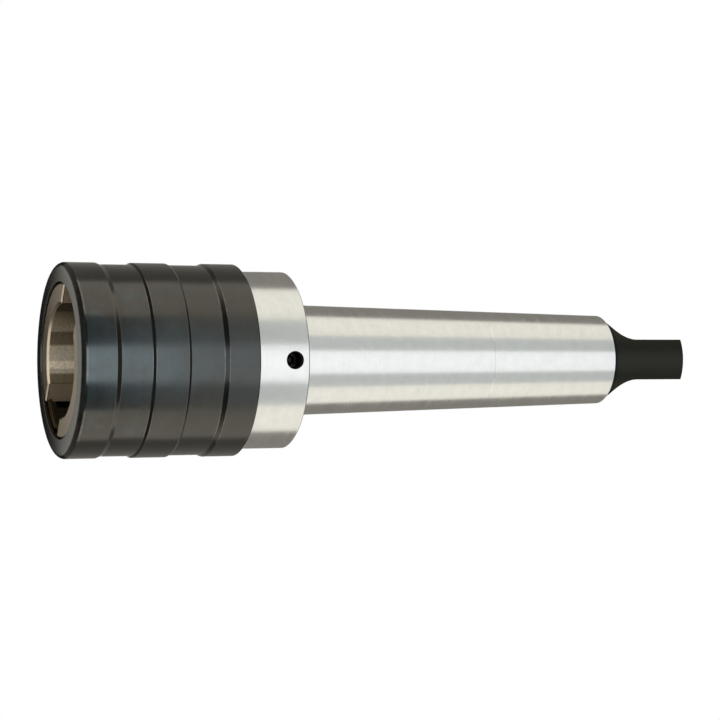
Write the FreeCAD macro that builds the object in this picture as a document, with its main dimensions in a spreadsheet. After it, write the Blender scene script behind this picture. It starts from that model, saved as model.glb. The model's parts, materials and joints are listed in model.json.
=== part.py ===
import FreeCAD, Part
import math
import os
import Sketcher

# A quick-change tapping chuck with length compensation on a Morse taper shank, size 4, with a tang.
# Lengths are millimetres. The axis is X: the mouth looks towards -X and the tang towards +X, +Z is up.
# Every piece is drawn on stations counted from the mouth plane and then shifted, so that the origin of
# the part is the centre of the taper's gauge plane.

SIZES = (
    # the tool end of the taper, and where the head sits on it
    ("gauge_diameter", 31.267, "taper at the gauge plane, number 4"),
    ("taper_ratio", 0.05194, "change of diameter with length"),
    ("gauge_offset", 6.5, "collar face to the gauge plane"),
    ("shank_length", 94.1, "gauge plane to the small end"),
    ("shank_edge", 0.3, "broken edge of the small end"),
    ("tang_step", 0.94, "small end of the taper down to the round of the tang"),
    ("tang_thickness", 11.9, "across the tang's flats"),
    ("tang_flat_length", 15.2, "flat part of the tang"),
    ("tang_reach", 23.4, "small end of the taper to the tip of the tang"),
    ("tang_cutter_r", 8.0, "radius that runs out of the flats"),
    ("tang_chamfer", 0.6, "edge of the tip"),
    ("centre_r", 1.6, "pilot of the centre hole in the tip"),
    ("centre_depth", 6.0, "depth of the centre hole"),
    ("centre_cone_r", 3.4, "mouth of the 60 degree centre"),
    # the body of the chuck
    ("barrel_wall", 3.8, "barrel round the cup bore"),
    ("body_edge", 0.3, "broken edges of the body"),
    ("collar_length", 14.7, "part of the body behind the sleeve"),
    ("collar_floor", 11.73, "bottom of the cup to the collar face"),
    ("race_clearance", 1.2, "middle of the torque balls to the race bore and to the stem"),
    ("race_run_out", 1.5, "race bore past the ball grooves"),
    ("relief_clearance", 0.6, "bore behind the race round the stem"),
    ("relief_gap", 3.5, "free length behind the stem when pushed in"),
    ("thread_length", 14.0, "thread of the rod in the shank"),
    ("filling_hole_offset", 4.35, "collar face to the ball filling holes"),
    ("filling_hole_r", 2.5, "thread of the ball filling holes"),
    ("screw_end_gap", 1.4, "torque balls to the point of a set screw"),
    ("screw_recess", 4.8, "screw head below the collar"),
    # motion
    ("compensation", 12.5, "travel of the spindle each way"),
    ("stop_gap", 0.3, "left at the end of a travel"),
    ("release_travel", 4.0, "travel of the sleeve"),
    # the locking sleeve
    ("sleeve_length", 49.5, "whole sleeve"),
    ("sleeve_wall", 1.8, "sleeve round its pocket, at the raised bands"),
    ("grip_depth", 0.5, "depth of the two wide grooves"),
    ("front_band", 9.7, "first raised band"),
    ("front_slope", 1.2, "slope behind the first band"),
    ("middle_band_start", 20.2, "mouth to the second band"),
    ("middle_band", 9.2, "second raised band"),
    ("middle_slope_front", 1.2, "slope before the second band"),
    ("middle_slope_rear", 0.6, "slope behind the second band"),
    ("rear_band_start", 40.7, "mouth to the third band"),
    ("rear_slope", 1.5, "slope before the third band"),
    ("sleeve_front_round", 1.2, "round of the front edge"),
    ("sleeve_edge", 0.4, "rear edge of the sleeve"),
    ("sleeve_clearance", 0.2, "sleeve pocket round the body"),
    ("land_clearance", 0.05, "sleeve lands round the spindle nose"),
    ("front_land", 1.25, "land between the counterbore and the release groove"),
    ("rear_land", 2.8, "land behind the lock cone"),
    ("wiper_inset", 1.5, "rear face to the wiper groove"),
    ("wiper_width", 1.5, "wiper groove"),
    ("wiper_depth", 1.0, "wiper groove"),
    ("wiper_clearance", 0.05, "wiper in its groove and round the body"),
    # the floating spindle
    ("face_recess", 0.5, "spindle face behind the mouth plane"),
    ("bore_r", 15.5, "adapter bore"),
    ("bore_chamfer", 0.6, "edge of the adapter bore"),
    ("bore_depth", 31.5, "face to the bottom of the bore"),
    ("web_thickness", 10.0, "bottom of the bore to the spring bore"),
    ("nose_wall", 5.6, "spindle nose round the adapter bore"),
    ("nose_edge", 0.2, "front edge of the nose"),
    ("ring_lip", 0.6, "face to the retaining ring"),
    ("ring_seat_depth", 0.8, "groove of the retaining ring"),
    ("slot_width", 16.3, "driver slots"),
    ("slot_depth", 9.0, "driver slots"),
    ("slot_angle", 34.3, "lean of the driver slots from upright, degrees"),
    ("slot_edge", 0.35, "broken front edges of the driver slots"),
    ("grease_groove_start", 14.1, "face to the grease groove"),
    ("grease_groove_width", 2.0, "grease groove in the adapter bore"),
    ("grease_groove_depth", 0.4, "grease groove in the adapter bore"),
    ("flange_gap", 0.3, "spring flange inside the sleeve pocket"),
    ("flange_thickness", 2.0, "spring flange"),
    ("sleeve_spring_length", 6.6, "room of the sleeve spring"),
    ("head_step", 0.7, "spindle nose down to the head behind the flange"),
    ("head_clearance", 0.8, "cup bore round the spindle head"),
    ("spring_bore_r", 5.6, "bore of the stem"),
    ("plug_r", 4.0, "thread of the end plug"),
    ("plug_length", 6.0, "end plug"),
    ("thread_clearance", 0.02, "between a thread and its hole"),
    # the lock balls
    ("lock_ball_r", 3.5, "lock ball"),
    ("lock_ball_cover", 3.25, "centre of a locked ball below the outside of the nose"),
    ("open_bore_gap", 0.05, "released ball behind the wall of the adapter bore"),
    ("lock_ball_offset", 10.0, "face to the lock balls"),
    ("lock_clearance", 0.026, "ball to the sleeve's cone"),
    ("seat_clearance", 0.03, "ball in its seat"),
    ("release_gap", 0.1, "released ball to the groove over it"),
    # the torque balls and their cage
    ("torque_ball_r", 2.0, "torque ball"),
    ("torque_ball_circle", 10.8, "centre of a torque ball from the axis"),
    ("ball_pitch", 8.0, "ball to ball in a row"),
    ("groove_clearance", 0.02, "ball in its groove"),
    ("groove_over_run", 1.25, "groove past the last ball at full travel"),
    ("cage_margin", 3.5, "end of the cage to the first ball"),
    ("cage_end_gap", 0.75, "cage to the cup bottom at full travel"),
    ("cage_wall", 1.4, "cage"),
    # the rod and the springs on it
    ("rod_r", 2.9, "shaft of the rod"),
    ("rod_step", 0.1, "shaft of the rod below its thread"),
    ("rod_head_gap", 0.3, "head of the rod in the stem bore"),
    ("rod_head_length", 4.0, "head of the rod"),
    ("rod_key", 5.0, "hexagon socket across flats"),
    ("rod_key_depth", 2.5, "hexagon socket"),
    ("seat_thickness", 1.0, "spring seats"),
    ("rod_clearance", 0.2, "spring seats and gland nut round the rod"),
    ("seat_rim_gap", 0.15, "spring seats in the stem bore"),
    ("compression_spring_length", 25.0, "front spring at rest"),
    ("tension_spring_length", 21.0, "rear spring at rest"),
    ("spring_gap", 0.4, "both springs in the stem bore"),
    ("spring_wire_width", 1.7, "section of the spring wire, across"),
    ("spring_wire_height", 1.3, "section of the spring wire, along"),
    ("spring_coils", 5.0, "turns of each rod spring"),
    ("nut_length", 6.0, "gland nut"),
    ("nut_slot_width", 1.5, "driver slot of the gland nut"),
    ("nut_slot_depth", 1.2, "driver slot of the gland nut"),
    # small rings and screws
    ("ring_width", 1.2, "retaining ring along the axis"),
    ("ring_height", 1.2, "retaining ring across"),
    ("ring_clearance", 0.05, "retaining ring in the sleeve's counterbore"),
    ("ring_gap_angle", 9.0, "gap of the retaining ring, degrees"),
    ("ring_gap_place", 290.0, "middle of the gap from +Y towards +Z, degrees"),
    ("buffer_thickness", 1.7, "buffer ring in the cup"),
    ("buffer_bore_gap", 0.4, "buffer ring round the stem, too narrow for the cage"),
    ("buffer_rim_gap", 1.2, "buffer ring in the cup"),
    ("sleeve_wire_width", 2.6, "section of the sleeve spring, across"),
    ("sleeve_wire_height", 0.8, "section of the sleeve spring, along"),
    ("sleeve_spring_coils", 2.25, "turns of the sleeve spring"),
    ("sleeve_spring_gap", 0.5, "sleeve spring round the nose"),
    ("plug_key", 4.0, "hexagon socket of the end plug across flats"),
    ("plug_key_depth", 3.0, "hexagon socket of the end plug"),
    ("screw_key", 2.5, "hexagon socket of the set screws across flats"),
    ("screw_key_depth", 2.5, "hexagon socket of the set screws"),
    ("screw_point_chamfer", 0.6, "point of the set screws"),
)

BALLS_IN_ROW = 3
BALL_ROWS = 3
FIRST_ROW_ANGLE = -90.0
WHOLE_TURN = 360.0
EDGE_TAPER = -45.0

doc = FreeCAD.newDocument("tapping_chuck")
sheet = doc.addObject("Spreadsheet::Sheet", "Sizes")


class Length:
    """A size of the sheet or a sum of sizes: its number now, and the expression that keeps it bound."""

    def __init__(self, value, text):
        self.value = value
        self.text = text

    def combined(self, other, sign, value):
        return Length(value, "(%s %s %s)" % (self.text, sign, other.text))

    def __add__(self, other):
        other = as_length(other)
        return self.combined(other, "+", self.value + other.value)

    def __sub__(self, other):
        other = as_length(other)
        return self.combined(other, "-", self.value - other.value)

    def __mul__(self, other):
        other = as_length(other)
        return self.combined(other, "*", self.value * other.value)

    def __truediv__(self, other):
        other = as_length(other)
        return self.combined(other, "/", self.value / other.value)


def as_length(number):
    return number if isinstance(number, Length) else Length(number, repr(number))


def root(length):
    return Length(math.sqrt(length.value), "sqrt(%s)" % length.text)


def fill_sheet():
    """Write each size to a row of the sheet and return them by name."""
    lengths = {}
    for row, (alias, value, note) in enumerate(SIZES, start=1):
        cell = "B%d" % row
        sheet.set("A%d" % row, alias)
        sheet.set(cell, str(value))
        sheet.setAlias(cell, alias)
        sheet.set("C%d" % row, note)
        lengths[alias] = Length(value, "Sizes.%s" % alias)
    doc.recompute()
    return lengths


size = fill_sheet()

# Radii. They grow outwards from the adapter bore, and round the torque balls, each by a named wall or gap.
nose_r = size["bore_r"] + size["nose_wall"]
head_r = nose_r - size["head_step"]
cup_bore_r = head_r + size["head_clearance"]
body_r = cup_bore_r + size["barrel_wall"]
pocket_r = body_r + size["sleeve_clearance"]
sleeve_r = pocket_r + size["sleeve_wall"]
stem_r = size["torque_ball_circle"] - size["race_clearance"]
stem_bore_r = size["torque_ball_circle"] + size["race_clearance"]
relief_bore_r = stem_r + size["relief_clearance"]
rod_thread_r = size["rod_r"] + size["rod_step"]
seat_bore_r = size["rod_r"] + size["rod_clearance"]

# Stations along the axis, counted from the mouth plane.
head_end = size["sleeve_length"] + size["collar_length"]
gauge_plane = head_end + size["gauge_offset"]
small_end = gauge_plane + size["shank_length"]
tang_tip = small_end + size["tang_reach"]

face = size["face_recess"]
ring_front = face + size["ring_lip"]
ring_rear = ring_front + size["ring_width"]
lock_ball_station = face + size["lock_ball_offset"]
bore_bottom = face + size["bore_depth"]
spring_bore_front = bore_bottom + size["web_thickness"]

# A released ball has left the bore. The cone inside the sleeve stays one clearance off the ball all the way.
lock_ball_circle = nose_r - size["lock_ball_cover"]
ball_lift = size["bore_r"] + size["lock_ball_r"] + size["open_bore_gap"] - lock_ball_circle
lock_slope = ball_lift / size["release_travel"]
cone_stretch = root(lock_slope * lock_slope + 1.0)
cone_r_at_ball = lock_ball_circle + (size["lock_ball_r"] + size["lock_clearance"]) * cone_stretch
land_r = nose_r + size["land_clearance"]
release_r = lock_ball_circle + ball_lift + size["lock_ball_r"] + size["release_gap"]
cone_start = lock_ball_station - (release_r - cone_r_at_ball) / lock_slope
cone_end = lock_ball_station + (cone_r_at_ball - land_r) / lock_slope
counterbore_r = nose_r - size["ring_seat_depth"] + size["ring_height"] + size["ring_clearance"]
counterbore_end = ring_rear + size["ring_clearance"]
release_front = counterbore_end + size["front_land"]
spring_pocket = cone_end + size["rear_land"]

flange_front = spring_pocket + size["sleeve_spring_length"]
flange_rear = flange_front + size["flange_thickness"]
cup_front = flange_rear + size["compensation"] + size["stop_gap"]
cup_bottom = head_end - size["collar_floor"]
head_rear = cup_bottom - size["buffer_thickness"] - size["stop_gap"] - size["compensation"]

# The cage runs half as far as the spindle.
half_travel = size["compensation"] / 2.0
cage_front = cup_bottom + half_travel + size["cage_end_gap"]
first_ball = cage_front + size["cage_margin"]
last_ball = first_ball + size["ball_pitch"] * float(BALLS_IN_ROW - 1)
cage_rear = last_ball + size["cage_margin"]
groove_reach = half_travel + size["torque_ball_r"] + size["groove_over_run"]
groove_front = first_ball - groove_reach
groove_rear = last_ball + groove_reach
race_end = groove_rear + size["race_run_out"]

front_seat_rear = spring_bore_front + size["seat_thickness"]
rod_front = front_seat_rear + size["compression_spring_length"]
rod_head_rear = rod_front + size["rod_head_length"]
rear_seat_front = rod_head_rear + size["tension_spring_length"]
nut_front = rear_seat_front + size["seat_thickness"]
stem_end = nut_front + size["nut_length"]
relief_end = stem_end + size["compensation"] + size["relief_gap"]
rod_end = relief_end + size["thread_length"]


def plane(body, role):
    """One of the body's own origin planes or axes."""
    return next(feature for feature in body.Origin.OriginFeatures if feature.Role == role)


def new_body(label):
    """A body whose stations count from the mouth plane, put where the gauge plane is the origin."""
    body = doc.addObject("PartDesign::Body", label)
    body.Label = label
    body.setExpression("Placement.Base.x", "0 - %s" % gauge_plane.text)
    return body


def new_sketch(body, name, role="XY_Plane"):
    sketch = body.newObject("Sketcher::SketchObject", name)
    sketch.AttachmentSupport = (plane(body, role), [""])
    sketch.MapMode = "FlatFace"
    return sketch


def bind_point(sketch, geometry, end, x, y):
    """Hold a point of the sketch at x and y from its origin. A None leaves that direction free."""
    for kind, length in (("DistanceX", x), ("DistanceY", y)):
        if length is None:
            continue
        held = Sketcher.Constraint(kind, -1, 1, geometry, end, length.value)
        index = sketch.addConstraint(held)
        sketch.setExpression("Constraints[%d]" % index, length.text)


def polygon(sketch, points, quarter_arcs=()):
    """Draw a closed outline with every corner bound.

    quarter_arcs maps the number of a side to its centre: a quarter turn that ends level with the centre.
    """
    arcs = dict(quarter_arcs)
    count = len(points)
    corners = [FreeCAD.Vector(x.value, y.value, 0) for x, y in points]
    first_end = {}
    for side in range(count):
        start, end = corners[side], corners[(side + 1) % count]
        if side not in arcs:
            first_end[side] = 1
            sketch.addGeometry(Part.LineSegment(start, end), False)
            continue
        centre = FreeCAD.Vector(arcs[side][0].value, arcs[side][1].value, 0)
        circle = Part.Circle(centre, FreeCAD.Vector(0, 0, 1), (start - centre).Length)
        below = -math.pi / 2.0
        if end.x > centre.x:
            first_end[side] = 1
            sketch.addGeometry(Part.ArcOfCircle(circle, below, 0.0), False)
        else:
            first_end[side] = 2
            sketch.addGeometry(Part.ArcOfCircle(circle, math.pi, math.pi - below), False)
    for side in range(count):
        after = (side + 1) % count
        last_end = 3 - first_end[side]
        sketch.addConstraint(Sketcher.Constraint("Coincident", side, last_end, after, first_end[after]))
    for side, (x, y) in enumerate(points):
        ends_arc = (side - 1) % count in arcs
        bind_point(sketch, side, first_end[side], None if ends_arc else x, y)
    for side, (x, y) in arcs.items():
        bind_point(sketch, side, 3, x, y)
    return sketch


def revolve(body, name, points, kind="PartDesign::Revolution"):
    """Turn an outline of station and radius about the axis, adding or cutting."""
    sketch = polygon(new_sketch(body, name + "_outline"), points)
    feature = body.newObject(kind, name)
    feature.Profile = sketch
    feature.ReferenceAxis = (sketch, ["H_Axis"])
    feature.Angle = WHOLE_TURN
    doc.recompute()
    return feature


def ring_outline(front, rear, inner, outer):
    return [(front, inner), (rear, inner), (rear, outer), (front, outer)]


def extrude(body, name, sketch, length, kind="PartDesign::Pocket", backwards=False):
    """Pad or pocket a sketch by a bound length. A pocket cuts below the sketch unless backwards."""
    feature = body.newObject(kind, name)
    feature.Profile = sketch
    feature.setExpression("Length", length.text)
    feature.Reversed = backwards
    doc.recompute()
    return feature


def cross_section(body, name, station):
    """A sketch square to the axis at a station. It looks towards +X, with Y to the right and Z up."""
    sketch = new_sketch(body, name, "YZ_Plane")
    sketch.setExpression("AttachmentOffset.Base.z", station.text)
    return sketch


def hexagon_in(sketch, across_flats):
    """A hexagon about the sketch's origin, tied to a construction circle through its corners."""
    corner_r = across_flats / math.sqrt(3.0)
    turns = [math.radians(60.0 * number) for number in range(6)]
    corners = [
        FreeCAD.Vector(corner_r.value * math.cos(turn), corner_r.value * math.sin(turn), 0) for turn in turns
    ]
    for number in range(6):
        sketch.addGeometry(Part.LineSegment(corners[number], corners[(number + 1) % 6]), False)
    circle = sketch.addGeometry(
        Part.Circle(FreeCAD.Vector(0, 0, 0), FreeCAD.Vector(0, 0, 1), corner_r.value), True
    )
    sketch.addConstraint(Sketcher.Constraint("Coincident", circle, 3, -1, 1))
    held = sketch.addConstraint(Sketcher.Constraint("Radius", circle, corner_r.value))
    sketch.setExpression("Constraints[%d]" % held, corner_r.text)
    for number in range(6):
        sketch.addConstraint(Sketcher.Constraint("Coincident", number, 2, (number + 1) % 6, 1))
        sketch.addConstraint(Sketcher.Constraint("PointOnObject", number, 1, circle))
    for number in range(5):
        sketch.addConstraint(Sketcher.Constraint("Equal", number, number + 1))
    sketch.addConstraint(Sketcher.Constraint("PointOnObject", 0, 1, -1))


def hexagon_socket(body, name, station, across_flats, depth):
    """A hexagon socket in a face that looks towards -X."""
    sketch = cross_section(body, name + "_outline", station)
    hexagon_in(sketch, across_flats)
    return extrude(body, name, sketch, depth, backwards=True)


def round_the_axis(body, name, features, count):
    """Repeat features evenly about the axis."""
    pattern = body.newObject("PartDesign::PolarPattern", name)
    pattern.Originals = features
    pattern.Axis = (plane(body, "X_Axis"), [""])
    pattern.Angle = WHOLE_TURN
    pattern.Occurrences = count
    body.Tip = pattern
    doc.recompute()
    return pattern


def circle_edge(shape, station, radius):
    """The name of the round edge of a radius at a station."""
    for number, edge in enumerate(shape.Edges, start=1):
        curve = edge.Curve
        if isinstance(curve, Part.Circle) and abs(curve.Radius - radius.value) < 1e-4:
            if abs(curve.Center.x - station.value) < 1e-4:
                return "Edge%d" % number
    raise ValueError("no round edge at station %s with radius %s" % (station.value, radius.value))


def radial_sketch(body, name, station, angle):
    """A sketch through the axis: its x runs along the axis from the station, its y outwards at an angle."""
    sketch = new_sketch(body, name)
    sketch.AttachmentOffset = FreeCAD.Placement(
        FreeCAD.Vector(station.value, 0, 0), FreeCAD.Rotation(FreeCAD.Vector(1, 0, 0), angle)
    )
    sketch.setExpression("AttachmentOffset.Base.x", station.text)
    return sketch


def make_shank_body():
    """Taper shank, tang, collar and the barrel that carries the spindle, all one turned piece."""
    body = new_body("shank_body")
    half_taper = size["taper_ratio"] / 2.0
    shank_r = size["gauge_diameter"] / 2.0 + half_taper * size["gauge_offset"]
    small_r = size["gauge_diameter"] / 2.0 - half_taper * size["shank_length"]
    shank_edge = size["shank_edge"]
    edge = size["body_edge"]
    collar_r = body_r - edge
    tang_r = small_r - size["tang_step"]
    cone_depth = (size["centre_cone_r"] - size["centre_r"]) * math.sqrt(3.0)
    axis = as_length(0.0)
    revolve(body, "turned_form", [
        (cup_front, cup_bore_r),
        (cup_front, collar_r),
        (cup_front + edge, body_r),
        (head_end - edge, body_r),
        (head_end, collar_r),
        (head_end, shank_r),
        (small_end - shank_edge, small_r + half_taper * shank_edge),
        (small_end, small_r - shank_edge),
        (small_end, tang_r),
        (tang_tip - size["tang_chamfer"], tang_r),
        (tang_tip, tang_r - size["tang_chamfer"]),
        (tang_tip, size["centre_cone_r"]),
        (tang_tip - cone_depth, size["centre_r"]),
        (tang_tip - size["centre_depth"], size["centre_r"]),
        (tang_tip - size["centre_depth"], axis),
        (rod_end, axis),
        (rod_end, rod_thread_r),
        (relief_end, rod_thread_r),
        (relief_end, relief_bore_r),
        (race_end, relief_bore_r),
        (race_end, stem_bore_r),
        (cup_bottom, stem_bore_r),
        (cup_bottom, cup_bore_r),
    ])

    # flats of the tang, above and below, run out by the milling cutter's radius
    half_flat = size["tang_thickness"] / 2.0
    flat_start = tang_tip - size["tang_flat_length"]
    above = tang_r * 2.0
    run_out = flat_start - size["tang_cutter_r"]
    cutter_height = half_flat + size["tang_cutter_r"]
    past_tip = tang_tip + size["tang_cutter_r"]
    flat = new_sketch(body, "tang_flat_outline", "XZ_Plane")
    polygon(flat, [
        (flat_start, half_flat),
        (run_out, cutter_height),
        (run_out, above),
        (past_tip, above),
        (past_tip, half_flat),
    ], {0: (flat_start, cutter_height)})
    tang_flat = extrude(body, "tang_flat", flat, above * 2.0)
    tang_flat.Midplane = True
    lower_flat = body.newObject("PartDesign::Mirrored", "lower_tang_flat")
    lower_flat.Originals = [tang_flat]
    lower_flat.MirrorPlane = (plane(body, "XY_Plane"), [""])
    body.Tip = lower_flat
    doc.recompute()

    # three long grooves in the race bore
    groove = cross_section(body, "race_groove_outline", cup_bottom)
    groove_r = size["torque_ball_r"] + size["groove_clearance"]
    circle_below(groove, size["torque_ball_circle"], groove_r)
    race_groove = extrude(body, "race_groove", groove, groove_rear - cup_bottom, backwards=True)
    round_the_axis(body, "race_grooves", [race_groove], BALL_ROWS)

    # a threaded hole leads in to each groove, so that the balls can be filled in
    hole = new_sketch(body, "filling_hole_outline", "XZ_Plane")
    hole.setExpression("AttachmentOffset.Base.z", size["torque_ball_circle"].text)
    circle_on_axis(hole, head_end - size["filling_hole_offset"], size["filling_hole_r"])
    filling_hole = extrude(body, "filling_hole", hole, body_r, backwards=True)
    round_the_axis(body, "filling_holes", [filling_hole], BALL_ROWS)
    return body


def circle_below(sketch, distance, radius):
    """A circle on a cross section at a distance from the axis, on the side of the first ball row."""
    index = sketch.addGeometry(
        Part.Circle(FreeCAD.Vector(-distance.value, 0, 0), FreeCAD.Vector(0, 0, 1), radius.value), False
    )
    sketch.addConstraint(Sketcher.Constraint("PointOnObject", index, 3, -1))
    held = sketch.addConstraint(Sketcher.Constraint("DistanceX", index, 3, -1, 1, distance.value))
    sketch.setExpression("Constraints[%d]" % held, distance.text)
    held = sketch.addConstraint(Sketcher.Constraint("Radius", index, radius.value))
    sketch.setExpression("Constraints[%d]" % held, radius.text)


def circle_on_axis(sketch, station, radius):
    """A circle whose centre lies on the axis line at a station."""
    index = sketch.addGeometry(
        Part.Circle(FreeCAD.Vector(station.value, 0, 0), FreeCAD.Vector(0, 0, 1), radius.value), False
    )
    sketch.addConstraint(Sketcher.Constraint("PointOnObject", index, 3, -1))
    bind_point(sketch, index, 3, station, None)
    held = sketch.addConstraint(Sketcher.Constraint("Radius", index, radius.value))
    sketch.setExpression("Constraints[%d]" % held, radius.text)


def make_locking_sleeve():
    """The black outer sleeve: grip bands outside; ring, ball cone, spring and wiper seats inside."""
    body = new_body("locking_sleeve")
    end = size["sleeve_length"]
    top = sleeve_r
    low = top - size["grip_depth"]
    middle_end = size["middle_band_start"] + size["middle_band"]
    wiper_rear = end - size["wiper_inset"]
    wiper_front = wiper_rear - size["wiper_width"]
    wiper_r = pocket_r + size["wiper_depth"]
    mouth = as_length(0.0)
    turned = revolve(body, "turned_form", [
        (mouth, counterbore_r),
        (mouth, top),
        (size["front_band"], top),
        (size["front_band"] + size["front_slope"], low),
        (size["middle_band_start"] - size["middle_slope_front"], low),
        (size["middle_band_start"], top),
        (middle_end, top),
        (middle_end + size["middle_slope_rear"], low),
        (size["rear_band_start"] - size["rear_slope"], low),
        (size["rear_band_start"], top),
        (end - size["sleeve_edge"], top),
        (end, top - size["sleeve_edge"]),
        (end, pocket_r),
        (wiper_rear, pocket_r),
        (wiper_rear, wiper_r),
        (wiper_front, wiper_r),
        (wiper_front, pocket_r),
        (spring_pocket, pocket_r),
        (spring_pocket, land_r),
        (cone_end, land_r),
        (cone_start, release_r),
        (release_front, release_r),
        (release_front, land_r),
        (counterbore_end, land_r),
        (counterbore_end, counterbore_r),
    ])
    front_round = body.newObject("PartDesign::Fillet", "front_round")
    front_round.Base = (turned, [circle_edge(turned.Shape, mouth, top)])
    front_round.setExpression("Radius", size["sleeve_front_round"].text)
    doc.recompute()
    return body


def slot_outline(body, name, width):
    """A rectangle right across the spindle's face, leaning as the driver slots do."""
    sketch = cross_section(body, name, face)
    sketch.AttachmentOffset = FreeCAD.Placement(
        FreeCAD.Vector(0, 0, face.value), FreeCAD.Rotation(FreeCAD.Vector(0, 0, 1), size["slot_angle"].value)
    )
    sketch.setExpression("AttachmentOffset.Base.z", face.text)
    sketch.setExpression("AttachmentOffset.Rotation.Angle", size["slot_angle"].text)
    centred_rectangle(sketch, width, nose_r * 2.0 + width)
    return sketch


def make_floating_spindle():
    """The steel spindle: adapter bore with driver slots in front, grooved stem behind."""
    body = new_body("floating_spindle")
    bore_r = size["bore_r"]
    edge = size["nose_edge"]
    flange_r = pocket_r - size["flange_gap"]
    ring_r = nose_r - size["ring_seat_depth"]
    grease_start = face + size["grease_groove_start"]
    grease_end = grease_start + size["grease_groove_width"]
    grease_r = bore_r + size["grease_groove_depth"]
    revolve(body, "turned_form", [
        (face, bore_r + size["bore_chamfer"]),
        (face, nose_r - edge),
        (face + edge, nose_r),
        (ring_front, nose_r),
        (ring_front, ring_r),
        (ring_rear, ring_r),
        (ring_rear, nose_r),
        (flange_front, nose_r),
        (flange_front, flange_r),
        (flange_rear, flange_r),
        (flange_rear, head_r),
        (head_rear, head_r),
        (head_rear, stem_r),
        (stem_end, stem_r),
        (stem_end, size["spring_bore_r"]),
        (spring_bore_front, size["spring_bore_r"]),
        (spring_bore_front, size["plug_r"]),
        (bore_bottom, size["plug_r"]),
        (bore_bottom, bore_r),
        (grease_end, bore_r),
        (grease_end, grease_r),
        (grease_start, grease_r),
        (grease_start, bore_r),
        (face + size["bore_chamfer"], bore_r),
    ])

    # one cut across the nose makes both driver slots, and one that narrows as it goes in breaks their edges
    slot = slot_outline(body, "driver_slot_outline", size["slot_width"])
    extrude(body, "driver_slots", slot, size["slot_depth"], backwards=True)
    rim = slot_outline(body, "slot_edge_outline", size["slot_width"] + size["slot_edge"] * 2.0)
    broken_edges = extrude(body, "slot_edges", rim, size["slot_edge"], backwards=True)
    broken_edges.TaperAngle = EDGE_TAPER
    doc.recompute()

    # a lock ball sits in each wall between the slots: round seat inside, open outwards
    seat_r = size["lock_ball_r"] + size["seat_clearance"]
    middle = lock_ball_circle
    outside = nose_r + size["lock_ball_r"]
    on_axis = as_length(0.0)
    ball_seat = radial_sketch(body, "ball_seat_outline", lock_ball_station, lock_angle())
    polygon(ball_seat, [
        (on_axis, middle - seat_r),
        (seat_r, middle),
        (seat_r, outside),
        (on_axis, outside),
    ], {0: (on_axis, middle)})
    seat = body.newObject("PartDesign::Groove", "ball_seat")
    seat.Profile = ball_seat
    seat.ReferenceAxis = (ball_seat, ["V_Axis"])
    seat.Angle = WHOLE_TURN
    doc.recompute()
    round_the_axis(body, "ball_seats", [seat], 2)

    # three long grooves in the stem face the grooves of the race
    groove = cross_section(body, "stem_groove_outline", groove_front)
    circle_below(groove, size["torque_ball_circle"], size["torque_ball_r"] + size["groove_clearance"])
    stem_groove = extrude(body, "stem_groove", groove, groove_rear - groove_front, backwards=True)
    round_the_axis(body, "stem_grooves", [stem_groove], BALL_ROWS)
    return body


def lock_angle():
    """The lock balls lie square to the driver slots. The angle counts from +Y towards +Z."""
    return size["slot_angle"].value


def centred_rectangle(sketch, width, height):
    """A rectangle about the sketch's origin."""
    half_width = width / 2.0
    half_height = height / 2.0
    x, y = half_width.value, half_height.value
    corners = [FreeCAD.Vector(*place, 0) for place in ((-x, -y), (x, -y), (x, y), (-x, y))]
    for number in range(4):
        sketch.addGeometry(Part.LineSegment(corners[number], corners[(number + 1) % 4]), False)
    for number in range(4):
        sketch.addConstraint(Sketcher.Constraint("Coincident", number, 2, (number + 1) % 4, 1))
    for number in (0, 2):
        sketch.addConstraint(Sketcher.Constraint("Horizontal", number))
        sketch.addConstraint(Sketcher.Constraint("Vertical", number + 1))
    sketch.addConstraint(Sketcher.Constraint("Symmetric", 0, 1, 2, 1, -1, 1))
    for kind, side, whole in (("DistanceX", 0, width), ("DistanceY", 1, height)):
        held = sketch.addConstraint(Sketcher.Constraint(kind, side, 1, side, 2, whole.value))
        sketch.setExpression("Constraints[%d]" % held, whole.text)


def make_lock_ball(label, turn):
    """One lock ball, locked, at half a turn from the other."""
    ball = doc.addObject("Part::Sphere", label)
    ball.Label = label
    ball.setExpression("Radius", size["lock_ball_r"].text)
    angle = math.radians(lock_angle() + turn)
    ball.setExpression("Placement.Base.x", "%s - %s" % (lock_ball_station.text, gauge_plane.text))
    ball.setExpression("Placement.Base.y", "%s * %r" % (lock_ball_circle.text, math.cos(angle)))
    ball.setExpression("Placement.Base.z", "%s * %r" % (lock_ball_circle.text, math.sin(angle)))
    return ball


def make_ball_row(row):
    """One row of the balls that carry the torque from the race to the stem."""
    angle = math.radians(FIRST_ROW_ANGLE + WHOLE_TURN * row / BALL_ROWS)
    circle = size["torque_ball_circle"].text
    balls = []
    for number in range(BALLS_IN_ROW):
        ball = doc.addObject("Part::Sphere", "row_%d_ball_%d" % (row + 1, number + 1))
        station = first_ball + size["ball_pitch"] * float(number) - gauge_plane
        ball.setExpression("Radius", size["torque_ball_r"].text)
        ball.setExpression("Placement.Base.x", station.text)
        ball.setExpression("Placement.Base.y", "%s * %r" % (circle, math.sin(angle)))
        ball.setExpression("Placement.Base.z", "%s * %r" % (circle, math.cos(angle)))
        balls.append(ball)
    group = doc.addObject("Part::Compound", "ball_row_%d" % (row + 1))
    group.Label = "ball_row_%d" % (row + 1)
    group.Links = balls
    return group


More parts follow.
